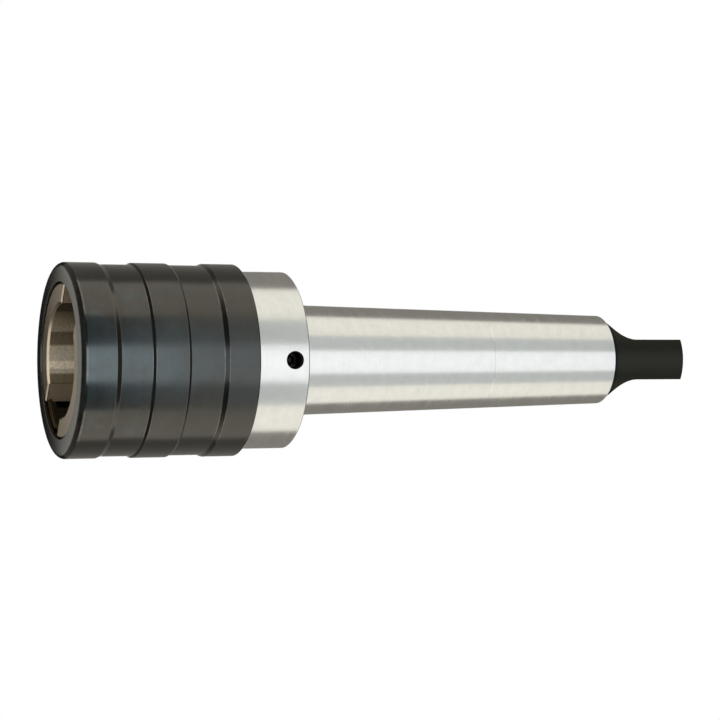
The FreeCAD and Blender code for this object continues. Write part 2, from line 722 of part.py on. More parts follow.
def make_ball_cage():
    """The tube that keeps the torque balls at their spacing."""
    body = new_body("ball_cage")
    inner = size["torque_ball_circle"] - size["cage_wall"] / 2.0
    outer = inner + size["cage_wall"]
    revolve(body, "tube", ring_outline(cage_front, cage_rear, inner, outer))
    holes = new_sketch(body, "ball_hole_outline", "XZ_Plane")
    for number in range(BALLS_IN_ROW):
        station = first_ball + size["ball_pitch"] * float(number)
        circle_on_axis(holes, station, size["torque_ball_r"] + size["seat_clearance"])
    ball_holes = extrude(body, "ball_holes", holes, outer + size["torque_ball_r"], backwards=True)
    round_the_axis(body, "ball_hole_rows", [ball_holes], BALL_ROWS)
    return body


def make_anchor_rod():
    """The rod that screws into the shank. Its head stands between the two springs."""
    body = new_body("anchor_rod")
    axis = as_length(0.0)
    thread_r = rod_thread_r - size["thread_clearance"]
    head_r = size["spring_bore_r"] - size["rod_head_gap"]
    revolve(body, "turned_form", [
        (rod_front, axis),
        (rod_front, head_r),
        (rod_head_rear, head_r),
        (rod_head_rear, size["rod_r"]),
        (relief_end, size["rod_r"]),
        (relief_end, thread_r),
        (rod_end, thread_r),
        (rod_end, axis),
    ])
    hexagon_socket(body, "key_socket", rod_front, size["rod_key"], size["rod_key_depth"])
    return body


def make_spring_seat(label, front):
    """A hardened washer between a rod spring and what it pushes on."""
    body = new_body(label)
    rim = size["spring_bore_r"] - size["seat_rim_gap"]
    revolve(body, "washer", ring_outline(front, front + size["seat_thickness"], seat_bore_r, rim))
    return body


def make_coil_spring(label, front, length, outer_r, width, height, coils):
    """A spring of flat wire. Its first and last turns start and end flush with the seats."""
    body = new_body(label)
    section = ring_outline(front, front + height, outer_r - width, outer_r)
    wire = polygon(new_sketch(body, "wire_section"), section)
    coil = body.newObject("PartDesign::AdditiveHelix", "coil")
    coil.Profile = wire
    coil.ReferenceAxis = (wire, ["H_Axis"])
    coil.Mode = 1
    coil.setExpression("Pitch", ((length - height) / coils).text)
    coil.setExpression("Height", (length - height).text)
    coil.setExpression("Turns", coils.text)
    doc.recompute()
    return body


def make_gland_nut():
    """The nut that closes the end of the stem behind the rear spring."""
    body = new_body("gland_nut")
    outer = size["spring_bore_r"] - size["thread_clearance"]
    revolve(body, "turned_form", ring_outline(nut_front, stem_end, seat_bore_r, outer))
    slot = cross_section(body, "driver_slot_outline", stem_end)
    centred_rectangle(slot, size["nut_slot_width"], outer * 3.0)
    extrude(body, "driver_slot", slot, size["nut_slot_depth"])
    return body


def make_end_plug():
    """The screw plug in the bottom of the adapter bore, in front of the rod's head."""
    body = new_body("end_plug")
    axis = as_length(0.0)
    radius = size["plug_r"] - size["thread_clearance"]
    rear = bore_bottom + size["plug_length"]
    revolve(body, "turned_form", ring_outline(bore_bottom, rear, axis, radius))
    hexagon_socket(body, "key_socket", bore_bottom, size["plug_key"], size["plug_key_depth"])
    return body


def make_buffer_ring():
    """The ring in the bottom of the cup that stops the spindle head softly."""
    body = new_body("buffer_ring")
    front = cup_bottom - size["buffer_thickness"]
    inner = stem_r + size["buffer_bore_gap"]
    outer = cup_bore_r - size["buffer_rim_gap"]
    revolve(body, "ring", ring_outline(front, cup_bottom, inner, outer))
    return body


def make_retaining_ring():
    """The open wire ring in the nose that keeps the sleeve on."""
    body = new_body("sleeve_retaining_ring")
    inner = nose_r - size["ring_seat_depth"]
    gap = size["ring_gap_angle"].value
    start = size["ring_gap_place"].value + gap / 2.0
    section = radial_sketch(body, "wire_section", ring_front, start)
    width = size["ring_width"]
    polygon(section, ring_outline(as_length(0.0), width, inner, inner + size["ring_height"]))
    ring = body.newObject("PartDesign::Revolution", "open_ring")
    ring.Profile = section
    ring.ReferenceAxis = (section, ["H_Axis"])
    ring.Angle = WHOLE_TURN - gap
    ring.setExpression("Angle", "%r - %s" % (WHOLE_TURN, size["ring_gap_angle"].text))
    doc.recompute()
    return body


def make_sleeve_wiper():
    """The soft ring in the sleeve's rear that wipes the body."""
    body = new_body("sleeve_wiper")
    clear = size["wiper_clearance"]
    rear = size["sleeve_length"] - size["wiper_inset"]
    front = rear - size["wiper_width"]
    inner = body_r + clear
    outer = pocket_r + size["wiper_depth"] - clear
    revolve(body, "ring", ring_outline(front + clear, rear - clear, inner, outer))
    return body


def make_filling_screws():
    """Set screws that close the three filling holes."""
    body = new_body("filling_screws")
    station = head_end - size["filling_hole_offset"]
    head_r = body_r - size["screw_recess"]
    point_r = size["torque_ball_circle"] + size["torque_ball_r"] + size["screw_end_gap"]
    screw_r = size["filling_hole_r"] - size["thread_clearance"]
    chamfer = size["screw_point_chamfer"]
    on_axis = as_length(0.0)
    outline = radial_sketch(body, "screw_outline", station, WHOLE_TURN / 2.0)
    polygon(outline, [
        (on_axis, point_r),
        (screw_r - chamfer, point_r),
        (screw_r, point_r + chamfer),
        (screw_r, head_r),
        (on_axis, head_r),
    ])
    screw = body.newObject("PartDesign::Revolution", "screw")
    screw.Profile = outline
    screw.ReferenceAxis = (outline, ["V_Axis"])
    screw.Angle = WHOLE_TURN
    doc.recompute()
    socket_outline = new_sketch(body, "socket_outline", "XZ_Plane")
    socket_outline.setExpression("AttachmentOffset.Base.x", station.text)
    socket_outline.setExpression("AttachmentOffset.Base.z", head_r.text)
    hexagon_in(socket_outline, size["screw_key"])
    socket = extrude(body, "socket", socket_outline, size["screw_key_depth"])
    round_the_axis(body, "screws", [screw, socket], BALL_ROWS)
    return body


def make_parts():
    rod_spring_r = size["spring_bore_r"] - size["spring_gap"]
    rod_spring = (rod_spring_r, size["spring_wire_width"], size["spring_wire_height"])
    sleeve_spring_r = nose_r + size["sleeve_spring_gap"] + size["sleeve_wire_width"]
    return [
        make_shank_body(),
        make_filling_screws(),
        make_buffer_ring(),
        make_anchor_rod(),
        make_coil_spring(
            "compression_spring", front_seat_rear, size["compression_spring_length"],
            *rod_spring, size["spring_coils"],
        ),
        make_coil_spring(
            "tension_spring", rod_head_rear, size["tension_spring_length"],
            *rod_spring, size["spring_coils"],
        ),
        make_spring_seat("front_spring_seat", spring_bore_front),
        make_spring_seat("rear_spring_seat", rear_seat_front),
        make_gland_nut(),
        make_end_plug(),
        make_floating_spindle(),
        make_retaining_ring(),
        make_locking_sleeve(),
        make_coil_spring(
            "sleeve_spring", spring_pocket, size["sleeve_spring_length"],
            sleeve_spring_r, size["sleeve_wire_width"], size["sleeve_wire_height"],
            size["sleeve_spring_coils"],
        ),
        make_sleeve_wiper(),
        make_lock_ball("upper_lock_ball", 0.0),
        make_lock_ball("lower_lock_ball", WHOLE_TURN / 2.0),
        make_ball_cage(),
        *(make_ball_row(row) for row in range(BALL_ROWS)),
    ]


def check_document():
    """Stop if any object of the document failed to build."""
    for item in doc.Objects:
        if "Invalid" in item.State or "Error" in item.State:
            raise ValueError("%s did not build: %s" % (item.Label, item.State))


def write_parts(parts):
    os.makedirs("parts", exist_ok=True)
    for part in parts:
        shape = part.Shape
        if shape.isNull() or not shape.isValid():
            raise ValueError("%s has no valid shape" % part.Label)
        shape.exportStep("parts/%s.step" % part.Label)
        print("%-22s %d solid, %9.1f cubic millimetres" % (part.Label, len(shape.Solids), shape.Volume))


parts = make_parts()
doc.recompute()
check_document()
write_parts(parts)
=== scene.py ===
# %% [markdown]
# A quick-change tapping chuck, dressed for its portrait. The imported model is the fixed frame: every
# steel part already stands in its place, in metres, with X along the axis from the mouth to the tang.
# Stations are counted from the mouth in millimetres, as a turner reads them off the drawing, and one
# small function turns a station into an X of the frame.

# %% the frame
import json
import math

import bpy
from mathutils import Matrix, Vector


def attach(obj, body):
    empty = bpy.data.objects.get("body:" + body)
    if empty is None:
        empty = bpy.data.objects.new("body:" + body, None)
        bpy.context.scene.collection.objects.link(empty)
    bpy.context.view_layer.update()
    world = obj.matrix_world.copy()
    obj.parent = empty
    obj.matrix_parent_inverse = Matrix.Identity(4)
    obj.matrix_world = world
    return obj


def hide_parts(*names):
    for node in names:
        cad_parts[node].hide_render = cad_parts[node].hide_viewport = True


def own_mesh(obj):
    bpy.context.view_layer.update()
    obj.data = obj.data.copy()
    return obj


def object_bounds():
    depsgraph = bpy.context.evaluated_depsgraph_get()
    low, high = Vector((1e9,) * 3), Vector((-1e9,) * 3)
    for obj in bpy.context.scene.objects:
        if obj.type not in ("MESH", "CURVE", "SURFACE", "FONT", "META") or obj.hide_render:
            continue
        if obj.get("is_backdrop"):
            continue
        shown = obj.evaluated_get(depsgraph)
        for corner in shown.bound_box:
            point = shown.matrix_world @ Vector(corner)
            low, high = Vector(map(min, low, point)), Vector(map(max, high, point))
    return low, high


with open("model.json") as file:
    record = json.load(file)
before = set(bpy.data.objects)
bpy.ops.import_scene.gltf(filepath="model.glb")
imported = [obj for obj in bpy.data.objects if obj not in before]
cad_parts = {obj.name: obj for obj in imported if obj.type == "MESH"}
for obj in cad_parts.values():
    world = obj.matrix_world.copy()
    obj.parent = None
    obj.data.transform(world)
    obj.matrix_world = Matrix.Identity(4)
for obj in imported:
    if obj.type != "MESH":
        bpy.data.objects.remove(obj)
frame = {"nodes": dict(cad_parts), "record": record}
nodes = frame["nodes"]
cad_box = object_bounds()

MM = 0.001
GAUGE_STATION = 70.7


def at(station):
    """X in metres of a station counted from the mouth in millimetres."""
    return (station - GAUGE_STATION) * MM


print("CAD box", [[round(value, 4) for value in corner] for corner in cad_box])

# %% [markdown]
# The photograph was taken with a long lens, level with the axis and a good twenty degrees round towards
# the mouth. The lens and the distance were worked out from the outline: the taper of the shank, the two
# ends of each band and the ellipse of the mouth only fall in place together for one camera.

# %% the camera
CAMERA_PLACE = Vector((-0.2105, -0.5818, 0.0))
CAMERA_LOOK = Vector((0.3654, 0.9308, 0.0))
CAMERA_LENS = 108.4
CAMERA_ROLL = -0.0017
SENSOR_WIDTH = 36.0

camera_data = bpy.data.cameras.new("camera")
camera_data.lens = CAMERA_LENS
camera_data.sensor_width = SENSOR_WIDTH
camera = bpy.data.objects.new("camera", camera_data)
bpy.context.scene.collection.objects.link(camera)
camera_turn = CAMERA_LOOK.to_track_quat("-Z", "Y").to_matrix().to_4x4()
camera.matrix_world = Matrix.Translation(CAMERA_PLACE) @ camera_turn @ Matrix.Rotation(CAMERA_ROLL, 4, "Z")
bpy.context.scene.camera = camera
bpy.context.scene.view_settings.view_transform = "Standard"
print("camera stands", round(CAMERA_PLACE.length, 3), "m from the gauge plane")

# %% [markdown]
# Bright metal shows nothing but its surroundings, so the studio is what makes the picture. Soft boxes
# lie along the axis: a cool one beside the camera and two warm ones above and below. The cool one comes
# in two lengths, because the stretch that the sleeve mirrors is narrower and a little brighter than the
# stretch for the steel. Each box has the radiance it should have in the steel, and its power follows from
# that and from its size. The mouth needs two lamps of its own, linked to the spindle: a tall panel in
# front of it draws the light line along every chamfer, and a small lamp looks in over the rim and lights
# the far wall of the bore.

# %% the soft boxes
COOL_WHITE = (0.97, 0.995, 0.985)
WARM_WHITE = (1.0, 0.975, 0.87)
BOX_DISTANCE = 0.9


def softbox(name, centre, towards, along, across, radiance, colour):
    """A rectangular lamp that shows as an even panel of one radiance in the steel."""
    lamp = bpy.data.lights.new(name, "AREA")
    lamp.shape = "RECTANGLE"
    lamp.size = along
    lamp.size_y = across
    lamp.energy = radiance * math.pi * along * across
    lamp.color = colour
    box = bpy.data.objects.new(name, lamp)
    bpy.context.scene.collection.objects.link(box)
    back = (Vector(centre) - Vector(towards)).normalized()
    side = Vector((0, 0, 1)).cross(back) if abs(back.x) > 0.5 else Vector((1, 0, 0))
    side = (side - back * side.dot(back)).normalized()
    turn = Matrix((side, back.cross(side), back)).transposed().to_4x4()
    box.matrix_world = Matrix.Translation(Vector(centre)) @ turn
    box.visible_camera = False
    print(f"{name}: {along:.2f} by {across:.2f} m, {lamp.energy:.2f} W")
    return box


def long_softbox(name, start, end, first, last, radiance, colour):
    """A box along the chuck between two X, and two angles about the axis: 0 at the camera, 90 above."""
    middle = math.radians((first + last) / 2)
    half = BOX_DISTANCE * math.tan(math.radians((last - first) / 2))
    place = ((start + end) / 2, -BOX_DISTANCE * math.cos(middle), BOX_DISTANCE * math.sin(middle))
    softbox(name, place, (place[0], 0, 0), end - start, 2 * half, radiance, colour)


FRONT_LEFT, BOXES_LEFT, SLEEVE_BOX_END, BOXES_RIGHT = -0.44, -0.25, 0.20, 0.98
FRONT, SLEEVE_FRONT = (-29.5, 20.5), (-24.5, 15.5)
UPPER, LOWER = (52.5, 104.5), (-104.5, -59.0)
long_softbox("sleeve_softbox", FRONT_LEFT, SLEEVE_BOX_END, *SLEEVE_FRONT, radiance=1.12, colour=COOL_WHITE)
long_softbox("front_softbox", SLEEVE_BOX_END, BOXES_RIGHT, *FRONT, radiance=1.04, colour=COOL_WHITE)
long_softbox("upper_softbox", BOXES_LEFT, BOXES_RIGHT, *UPPER, radiance=0.86, colour=WARM_WHITE)
long_softbox("lower_softbox", BOXES_LEFT, BOXES_RIGHT, *LOWER, radiance=0.90, colour=WARM_WHITE)

PANEL_PLACE, PANEL_TARGET, PANEL_SIZE = (-1.15, -0.1, 0.0), (at(0), -0.1, 0.0), (1.0, 1.8)
LAMP_PLACE, LAMP_TARGET, LAMP_SIZE = (at(0) - 0.36, -0.34, 0.15), (at(0), 0.0, 0.0), (0.2, 0.2)
mouth_lamps = (
    softbox("mouth_panel", PANEL_PLACE, PANEL_TARGET, *PANEL_SIZE, radiance=0.95, colour=WARM_WHITE),
    softbox("bore_lamp", LAMP_PLACE, LAMP_TARGET, *LAMP_SIZE, radiance=9.0, colour=WARM_WHITE),
)
for_the_spindle = bpy.data.collections.new("lit_by_the_mouth_lamps")
for_the_spindle.objects.link(nodes["floating_spindle"])
for lamp in mouth_lamps:
    lamp.light_linking.receiver_collection = for_the_spindle

# %% [markdown]
# Three small helpers come back all the time. One makes an object from points and faces. The other two
# build node trees in writing: a node is added with what goes into it, and a socket takes either a plain
# value or a link, so a whole finish reads like a sum.

# %% helpers for meshes and nodes
def plain_mesh(name, points, faces):
    """An object of plain points and faces, set in the scene."""
    mesh = bpy.data.meshes.new(name)
    mesh.from_pydata(points, [], faces)
    mesh.update()
    thing = bpy.data.objects.new(name, mesh)
    bpy.context.scene.collection.objects.link(thing)
    return thing


def join(tree, value, socket):
    """Link a socket to another one, or set its value."""
    if isinstance(value, bpy.types.NodeSocket):
        tree.links.new(value, socket)
    else:
        socket.default_value = value


def add(tree, kind, inputs=None, **settings):
    """Add a node. The settings are its own; the inputs are numbers, colours or sockets to link."""
    node = tree.nodes.new(kind)
    for name, value in settings.items():
        setattr(node, name, value)
    for name, value in (inputs or {}).items():
        join(tree, value, node.inputs[name])
    return node


# %% [markdown]
# Between the boxes hang grey cards, which make the darker stripes along every turned surface. They are
# bent round the chuck, dark where the sleeve mirrors them, lighter for the steel and lightest for the
# collar. A lamp lets a ray through, so each box has a black card behind it. A slit stays open straight
# behind the chuck, and through it the outline sees the white backdrop. Behind the mouth the slit is
# closed by a light card between two dark ones, and a black flag stands close to it. So the flat faces
# there go from dark on the far side to light on the near side, and the sleeve's rounded front stays dark.
# The camera looks past them all.

# %% the grey cards
SIDE_GREY = (0.08, 0.08, 0.08)
REAR_GREY = (0.225, 0.213, 0.191)
MOUTH_GREY = (0.40, 0.385, 0.35)
MOUTH_SIDE_GREY = (0.13, 0.125, 0.115)
BLACK = (0.015, 0.015, 0.015)
CARD_DISTANCE = 1.0
CARD_STEP = 5.0
LEFT_END, MIDDLE, RIGHT_END = -1.2, 0.0, 1.6
SLIT_EDGE, MOUTH_EDGE = 167.0, 163.0
COLLAR_START, COLLAR_END = 0.25, 0.32
GAPS = (
    (FRONT_LEFT, SLEEVE_BOX_END, (0.04, 0.05, 0.05)),
    (SLEEVE_BOX_END, COLLAR_START, (0.30, 0.31, 0.31)),
    (COLLAR_START, COLLAR_END, (0.93, 0.96, 0.94)),
    (COLLAR_END, BOXES_RIGHT, (0.56, 0.585, 0.565)),
)


def card(name, points, faces, grey):
    """A card that shows one even grey in the metal, and that neither the camera nor a shadow shows."""
    sheet = plain_mesh(name, points, faces)
    material = bpy.data.materials.new(name)
    material.use_nodes = True
    tree = material.node_tree
    tree.nodes.clear()
    emission = add(tree, "ShaderNodeEmission", {"Color": (*grey, 1.0)})
    add(tree, "ShaderNodeOutputMaterial", {"Surface": emission.outputs[0]})
    sheet.data.materials.append(material)
    sheet.visible_camera = False
    sheet.visible_shadow = False
    sheet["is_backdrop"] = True


def round_points(x, first, last):
    """Points on the cards' circle at an X, from one angle to another; 0 at the camera, 90 above."""
    steps = max(1, round((last - first) / CARD_STEP))
    angles = [math.radians(first + (last - first) * step / steps) for step in range(steps + 1)]
    return [(x, -CARD_DISTANCE * math.cos(angle), CARD_DISTANCE * math.sin(angle)) for angle in angles]


def bent_card(name, start, end, first, last, grey):
    """A card bent round the axis."""
    low, high = round_points(start, first, last), round_points(end, first, last)
    count = len(low)
    faces = [(step, step + 1, count + step + 1, count + step) for step in range(count - 1)]
    card(name, low + high, faces, grey)


for number, (start, end, grey) in enumerate(GAPS):
    bent_card(f"upper_gap_card_{number}", start, end, FRONT[1], UPPER[0], grey)
    bent_card(f"lower_gap_card_{number}", start, end, LOWER[1], FRONT[0], grey)
for name, arc in (("front_back", FRONT), ("upper_back", UPPER), ("lower_back", LOWER)):
    bent_card(name, FRONT_LEFT, BOXES_RIGHT, *arc, BLACK)
for name, start, end in (("left_card", LEFT_END, FRONT_LEFT), ("right_card", BOXES_RIGHT, RIGHT_END)):
    bent_card(name, start, end, LOWER[0], UPPER[1], SIDE_GREY)
bent_card("upper_rear_card", MIDDLE, RIGHT_END, UPPER[1], SLIT_EDGE, REAR_GREY)
bent_card("lower_rear_card", MIDDLE, RIGHT_END, -SLIT_EDGE, LOWER[0], REAR_GREY)
bent_card("mouth_rear_card", LEFT_END, MIDDLE, MOUTH_EDGE, 360 - MOUTH_EDGE, MOUTH_GREY)
bent_card("upper_mouth_card", LEFT_END, MIDDLE, UPPER[1], MOUTH_EDGE, MOUTH_SIDE_GREY)
bent_card("lower_mouth_card", LEFT_END, MIDDLE, -MOUTH_EDGE, LOWER[0], MOUTH_SIDE_GREY)
for name, x in (("left_end_card", LEFT_END), ("right_end_card", RIGHT_END)):
    disc = round_points(x, 0.0, 360.0 - CARD_STEP)
    card(name, disc, [tuple(range(len(disc)))], SIDE_GREY)

FLAG_Y = 0.045
FLAG_LEFT, FLAG_RIGHT = -0.0822, -0.06
FLAG_HALF_HEIGHT = 0.05
flag_corners = [(FLAG_LEFT, -1), (FLAG_RIGHT, -1), (FLAG_RIGHT, 1), (FLAG_LEFT, 1)]
flag_points = [(x, FLAG_Y, side * FLAG_HALF_HEIGHT) for x, side in flag_corners]
card("mouth_flag", flag_points, [(0, 1, 2, 3)], BLACK)

# %% [markdown]
# The floor and the backdrop are white to the camera and white in metal. To every other ray the floor is
# an ordinary pale floor and the world is dim, so neither adds much light to the chuck. No shadow is in
# view, because the chuck floats far above the floor.

# %% floor and backdrop
FLOOR_HEIGHT = -1.3
FLOOR_REACH = 6.0
FLOOR_PALE = (0.8, 0.8, 0.8, 1.0)
FLOOR_ROUGHNESS = 0.9
WORLD_DIM = (0.5, 0.5, 0.5, 1.0)
WHITE = (1.0, 1.0, 1.0, 1.0)


def calc(tree, operation, *terms):
    """A Math node with numbers or sockets as its terms; gives its output."""
    return add(tree, "ShaderNodeMath", dict(enumerate(terms)), operation=operation).outputs[0]


def seen_or_mirrored(tree):
    """1 for rays from the camera and for rays that metal or glass sends on, otherwise 0."""
    rays = add(tree, "ShaderNodeLightPath").outputs
    seen = calc(tree, "MAXIMUM", rays["Is Camera Ray"], rays["Is Glossy Ray"])
    return calc(tree, "MAXIMUM", seen, rays["Is Transmission Ray"])


def backdrop(tree, plain, bright, output):
    """Join a plain surface and a white one by the kind of ray."""
    seen = seen_or_mirrored(tree)
    mix = add(tree, "ShaderNodeMixShader", {0: seen, 1: plain.outputs[0], 2: bright.outputs[0]})
    join(tree, mix.outputs[0], output.inputs["Surface"])


floor_corners = ((-1, -1), (1, -1), (1, 1), (-1, 1))
floor_points = [(x * FLOOR_REACH, y * FLOOR_REACH, FLOOR_HEIGHT) for x, y in floor_corners]
floor = plain_mesh("floor", floor_points, [(0, 1, 2, 3)])
floor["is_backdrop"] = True
floor_material = bpy.data.materials.new("pale_floor")
floor_material.use_nodes = True
floor_tree = floor_material.node_tree
floor_shader = floor_tree.nodes["Principled BSDF"]
floor_shader.inputs["Base Color"].default_value = FLOOR_PALE
floor_shader.inputs["Roughness"].default_value = FLOOR_ROUGHNESS
floor_white = add(floor_tree, "ShaderNodeEmission", {"Color": WHITE})
backdrop(floor_tree, floor_shader, floor_white, floor_tree.nodes["Material Output"])
floor.data.materials.append(floor_material)

world = bpy.data.worlds.new("backdrop")
bpy.context.scene.world = world
world.use_nodes = True
world_tree = world.node_tree
world_tree.nodes["Background"].inputs["Color"].default_value = WORLD_DIM
world_white = add(world_tree, "ShaderNodeBackground", {"Color": WHITE})
backdrop(world_tree, world_tree.nodes["Background"], world_white, world_tree.nodes["World Output"])
print("floor lies", -FLOOR_HEIGHT, "m below the axis")

# %% [markdown]
# Every metal here keeps marks of how it was made, and some of them turn up on more than one piece: the
# fine rings that a turning tool leaves, the soft blotches of an oxide bath or of handling, and edges
# made lighter, partly as rubbed wear and partly as painted highlight. Each is one node group, written
# once. A group only gives out masks and heights, and the finish that uses it decides what they mean.

# %% shared marks
MM_PER_M = 1000.0
RUBBED_AND_HIGHLIT_PATCHES = (-0.25, 1.35)


def ranged(tree, mask, low, high):
    """A number that goes from low to high as a mask goes from 0 to 1."""
    return calc(tree, "MULTIPLY_ADD", mask, high - low, low)


def clamped(tree, value):
    """A number kept between 0 and 1."""
    return add(tree, "ShaderNodeClamp", {"Value": value}).outputs[0]


def noise(tree, where, scale, detail, roughness=0.5):
    """A cloudy pattern from 0 to 1."""
    inputs = {"Vector": where, "Scale": scale, "Detail": detail, "Roughness": roughness}
    return add(tree, "ShaderNodeTexNoise", inputs).outputs["Fac"]


def place_in_mm(tree):
    """Where a point of the steel is, in millimetres along X, Y and Z."""
    place = add(tree, "ShaderNodeTexCoord").outputs["Object"]
    return add(tree, "ShaderNodeVectorMath", {0: place, 3: MM_PER_M}, operation="SCALE").outputs[0]


def split_in_mm(tree):
    """The X, Y and Z of a point, each on its own, in millimetres."""
    return add(tree, "ShaderNodeSeparateXYZ", {0: place_in_mm(tree)}).outputs


def new_group(name, inputs, outputs):
    """An empty shader node group; gives the group, what comes in and what goes out."""
    group = bpy.data.node_groups.new(name, "ShaderNodeTree")
    for label, value in inputs.items():
        socket = group.interface.new_socket(label, in_out="INPUT", socket_type="NodeSocketFloat")
        socket.default_value = value
    for label in outputs:
        group.interface.new_socket(label, in_out="OUTPUT", socket_type="NodeSocketFloat")
    return group, group.nodes.new("NodeGroupInput").outputs, group.nodes.new("NodeGroupOutput").inputs


def turning_marks():
    """Fine rings round the axis. Each is drawn out along its turn and fades before it comes round."""
    inputs = {"Rings per mm": 3.0, "Length of a mark": 0.06}
    group, given, result = new_group("turning_marks", inputs, ["Height", "Tone"])
    x, y, z = split_in_mm(group)
    rings = calc(group, "MULTIPLY", x, given["Rings per mm"])
    drawn_y = calc(group, "MULTIPLY", y, given["Length of a mark"])
    drawn_z = calc(group, "MULTIPLY", z, given["Length of a mark"])
    where = add(group, "ShaderNodeCombineXYZ", {0: rings, 1: drawn_y, 2: drawn_z}).outputs[0]
    fine = noise(group, where, scale=1.0, detail=3.0, roughness=0.6)
    broad = noise(group, where, scale=0.23, detail=1.0)
    join(group, fine, result["Height"])
    join(group, calc(group, "MULTIPLY_ADD", fine, 0.5, calc(group, "MULTIPLY", broad, 0.5)), result["Tone"])
    return group


def blotches():
    """Soft uneven patches of a chosen size."""
    group, given, result = new_group("blotches", {"Size in mm": 8.0, "Detail": 3.0}, ["Amount"])
    scale = calc(group, "DIVIDE", 1.0, given["Size in mm"])
    join(group, noise(group, place_in_mm(group), scale, given["Detail"], roughness=0.62), result["Amount"])
    return group


def soft_step(tree, distance, softness):
    """0 short of a place and 1 beyond it, with a soft step between."""
    return clamped(tree, calc(tree, "ADD", calc(tree, "DIVIDE", distance, softness), 0.5))


def past_station():
    """0 before a place on the axis and 1 behind it."""
    group, given, result = new_group("past_station", {"X in mm": 0.0, "Softness in mm": 0.1}, ["Mask"])
    distance = calc(group, "SUBTRACT", split_in_mm(group)["X"], given["X in mm"])
    join(group, soft_step(group, distance, given["Softness in mm"]), result["Mask"])
    return group


def inside_radius():
    """1 nearer the axis than a radius and 0 outside it."""
    inputs = {"Radius in mm": 10.0, "Softness in mm": 0.1}
    group, given, result = new_group("inside_radius", inputs, ["Mask"])
    _, y, z = split_in_mm(group)
    squares = calc(group, "ADD", calc(group, "MULTIPLY", y, y), calc(group, "MULTIPLY", z, z))
    distance = calc(group, "SUBTRACT", given["Radius in mm"], calc(group, "SQRT", squares))
    join(group, soft_step(group, distance, given["Softness in mm"]), result["Mask"])
    return group


def rubbed_edges_and_highlights():
    """An edge made lighter, partly rubbed wear, partly painted highlight: its own mark, broken by a fine
    cloud.
    """
    group, given, result = new_group("rubbed_edges_and_highlights", {"Edge": 0.0, "Amount": 0.7}, ["Mask"])
    patchy = ranged(group, noise(group, place_in_mm(group), scale=0.55, detail=4.0), *RUBBED_AND_HIGHLIT_PATCHES)
    brightened = calc(group, "MULTIPLY", calc(group, "MULTIPLY", given["Edge"], given["Amount"]), patchy)
    join(group, clamped(group, brightened), result["Mask"])
    return group


mark_makers = (turning_marks, blotches, past_station, inside_radius, rubbed_edges_and_highlights)
MARKS = {make.__name__: make() for make in mark_makers}
print("shared marks:", ", ".join(MARKS))

# %% [markdown]
# A finish is put together in a few words: use a mark, let a mask blend two numbers or tint one colour with
# another, make a colour lighter or darker, and cut a height into the surface.

# %% words for the finishes
def mark(tree, name, **inputs):
    """Use one of the shared marks in a finish; underscores in an input's name stand for spaces."""
    use = add(tree, "ShaderNodeGroup", node_tree=MARKS[name])
    for label, value in inputs.items():
        join(tree, value, use.inputs[label.replace("_", " ")])
    return use.outputs


def behind(tree, x, softness=0.1):
    """1 behind an X in millimetres and 0 before it."""
    return mark(tree, "past_station", X_in_mm=x, Softness_in_mm=softness)["Mask"]


def cloud(tree, size, detail=3.0):
    """Blotches of a size in millimetres."""
    return mark(tree, "blotches", Size_in_mm=size, Detail=detail)["Amount"]


def mixed(tree, data_type, socket_type, mask, under, over):
    """A Mix node; its sockets for numbers and for colours share their names."""
    node = add(tree, "ShaderNodeMix", {"Factor": mask}, data_type=data_type)
    for label, value in (("A", under), ("B", over)):
        socket = next(item for item in node.inputs if item.name == label and item.type == socket_type)
        join(tree, value, socket)
    return next(item for item in node.outputs if item.type == socket_type)


def blend(tree, mask, under, over):
    """One number turning into another as a mask goes from 0 to 1."""
    return mixed(tree, "FLOAT", "VALUE", mask, under, over)


def tint(tree, mask, under, over):
    """One colour turning into another as a mask goes from 0 to 1."""
    sides = [side if isinstance(side, bpy.types.NodeSocket) else (*side, 1.0) for side in (under, over)]
    return mixed(tree, "RGBA", "RGBA", mask, *sides)


def tone(tree, colour, factor):
    """A colour made lighter or darker by a factor."""
    return add(tree, "ShaderNodeVectorMath", {0: colour, 3: factor}, operation="SCALE").outputs[0]


def finish(name, metallic=1.0):
    """A new material, its node tree and its shader; metal unless it is told otherwise."""
    material = bpy.data.materials.new(name)
    material.use_nodes = True
    shader = material.node_tree.nodes["Principled BSDF"]
    shader.inputs["Metallic"].default_value = metallic
    return material, material.node_tree, shader


def engrave(tree, shader, height, depth_in_mm):
    """Let a height show as relief of a real depth."""
    bump = add(tree, "ShaderNodeBump", {"Height": height, "Distance": depth_in_mm * MM, "Strength": 1.0})
    join(tree, bump.outputs[0], shader.inputs["Normal"])


# %% [markdown]
# The shank and the collar are one bar of steel, turned and then ground. All its fine marks run round the
# axis, so a reflection spreads along the chuck and stays crisp round it: the steel is anisotropic, and
# its tangent is the way the work turned past the wheel. A scribed ring marks the taper, with a painted
# highlight on it in two short pieces, above and below the axis. The tang is left black from hardening. A
# thin pale blue line painted along the edge of the black is a painted highlight, and the black behind it
# starts out navy. The walls of the filling holes are painted near black, as painted shade. All of that is
# one finish that knows where it is.

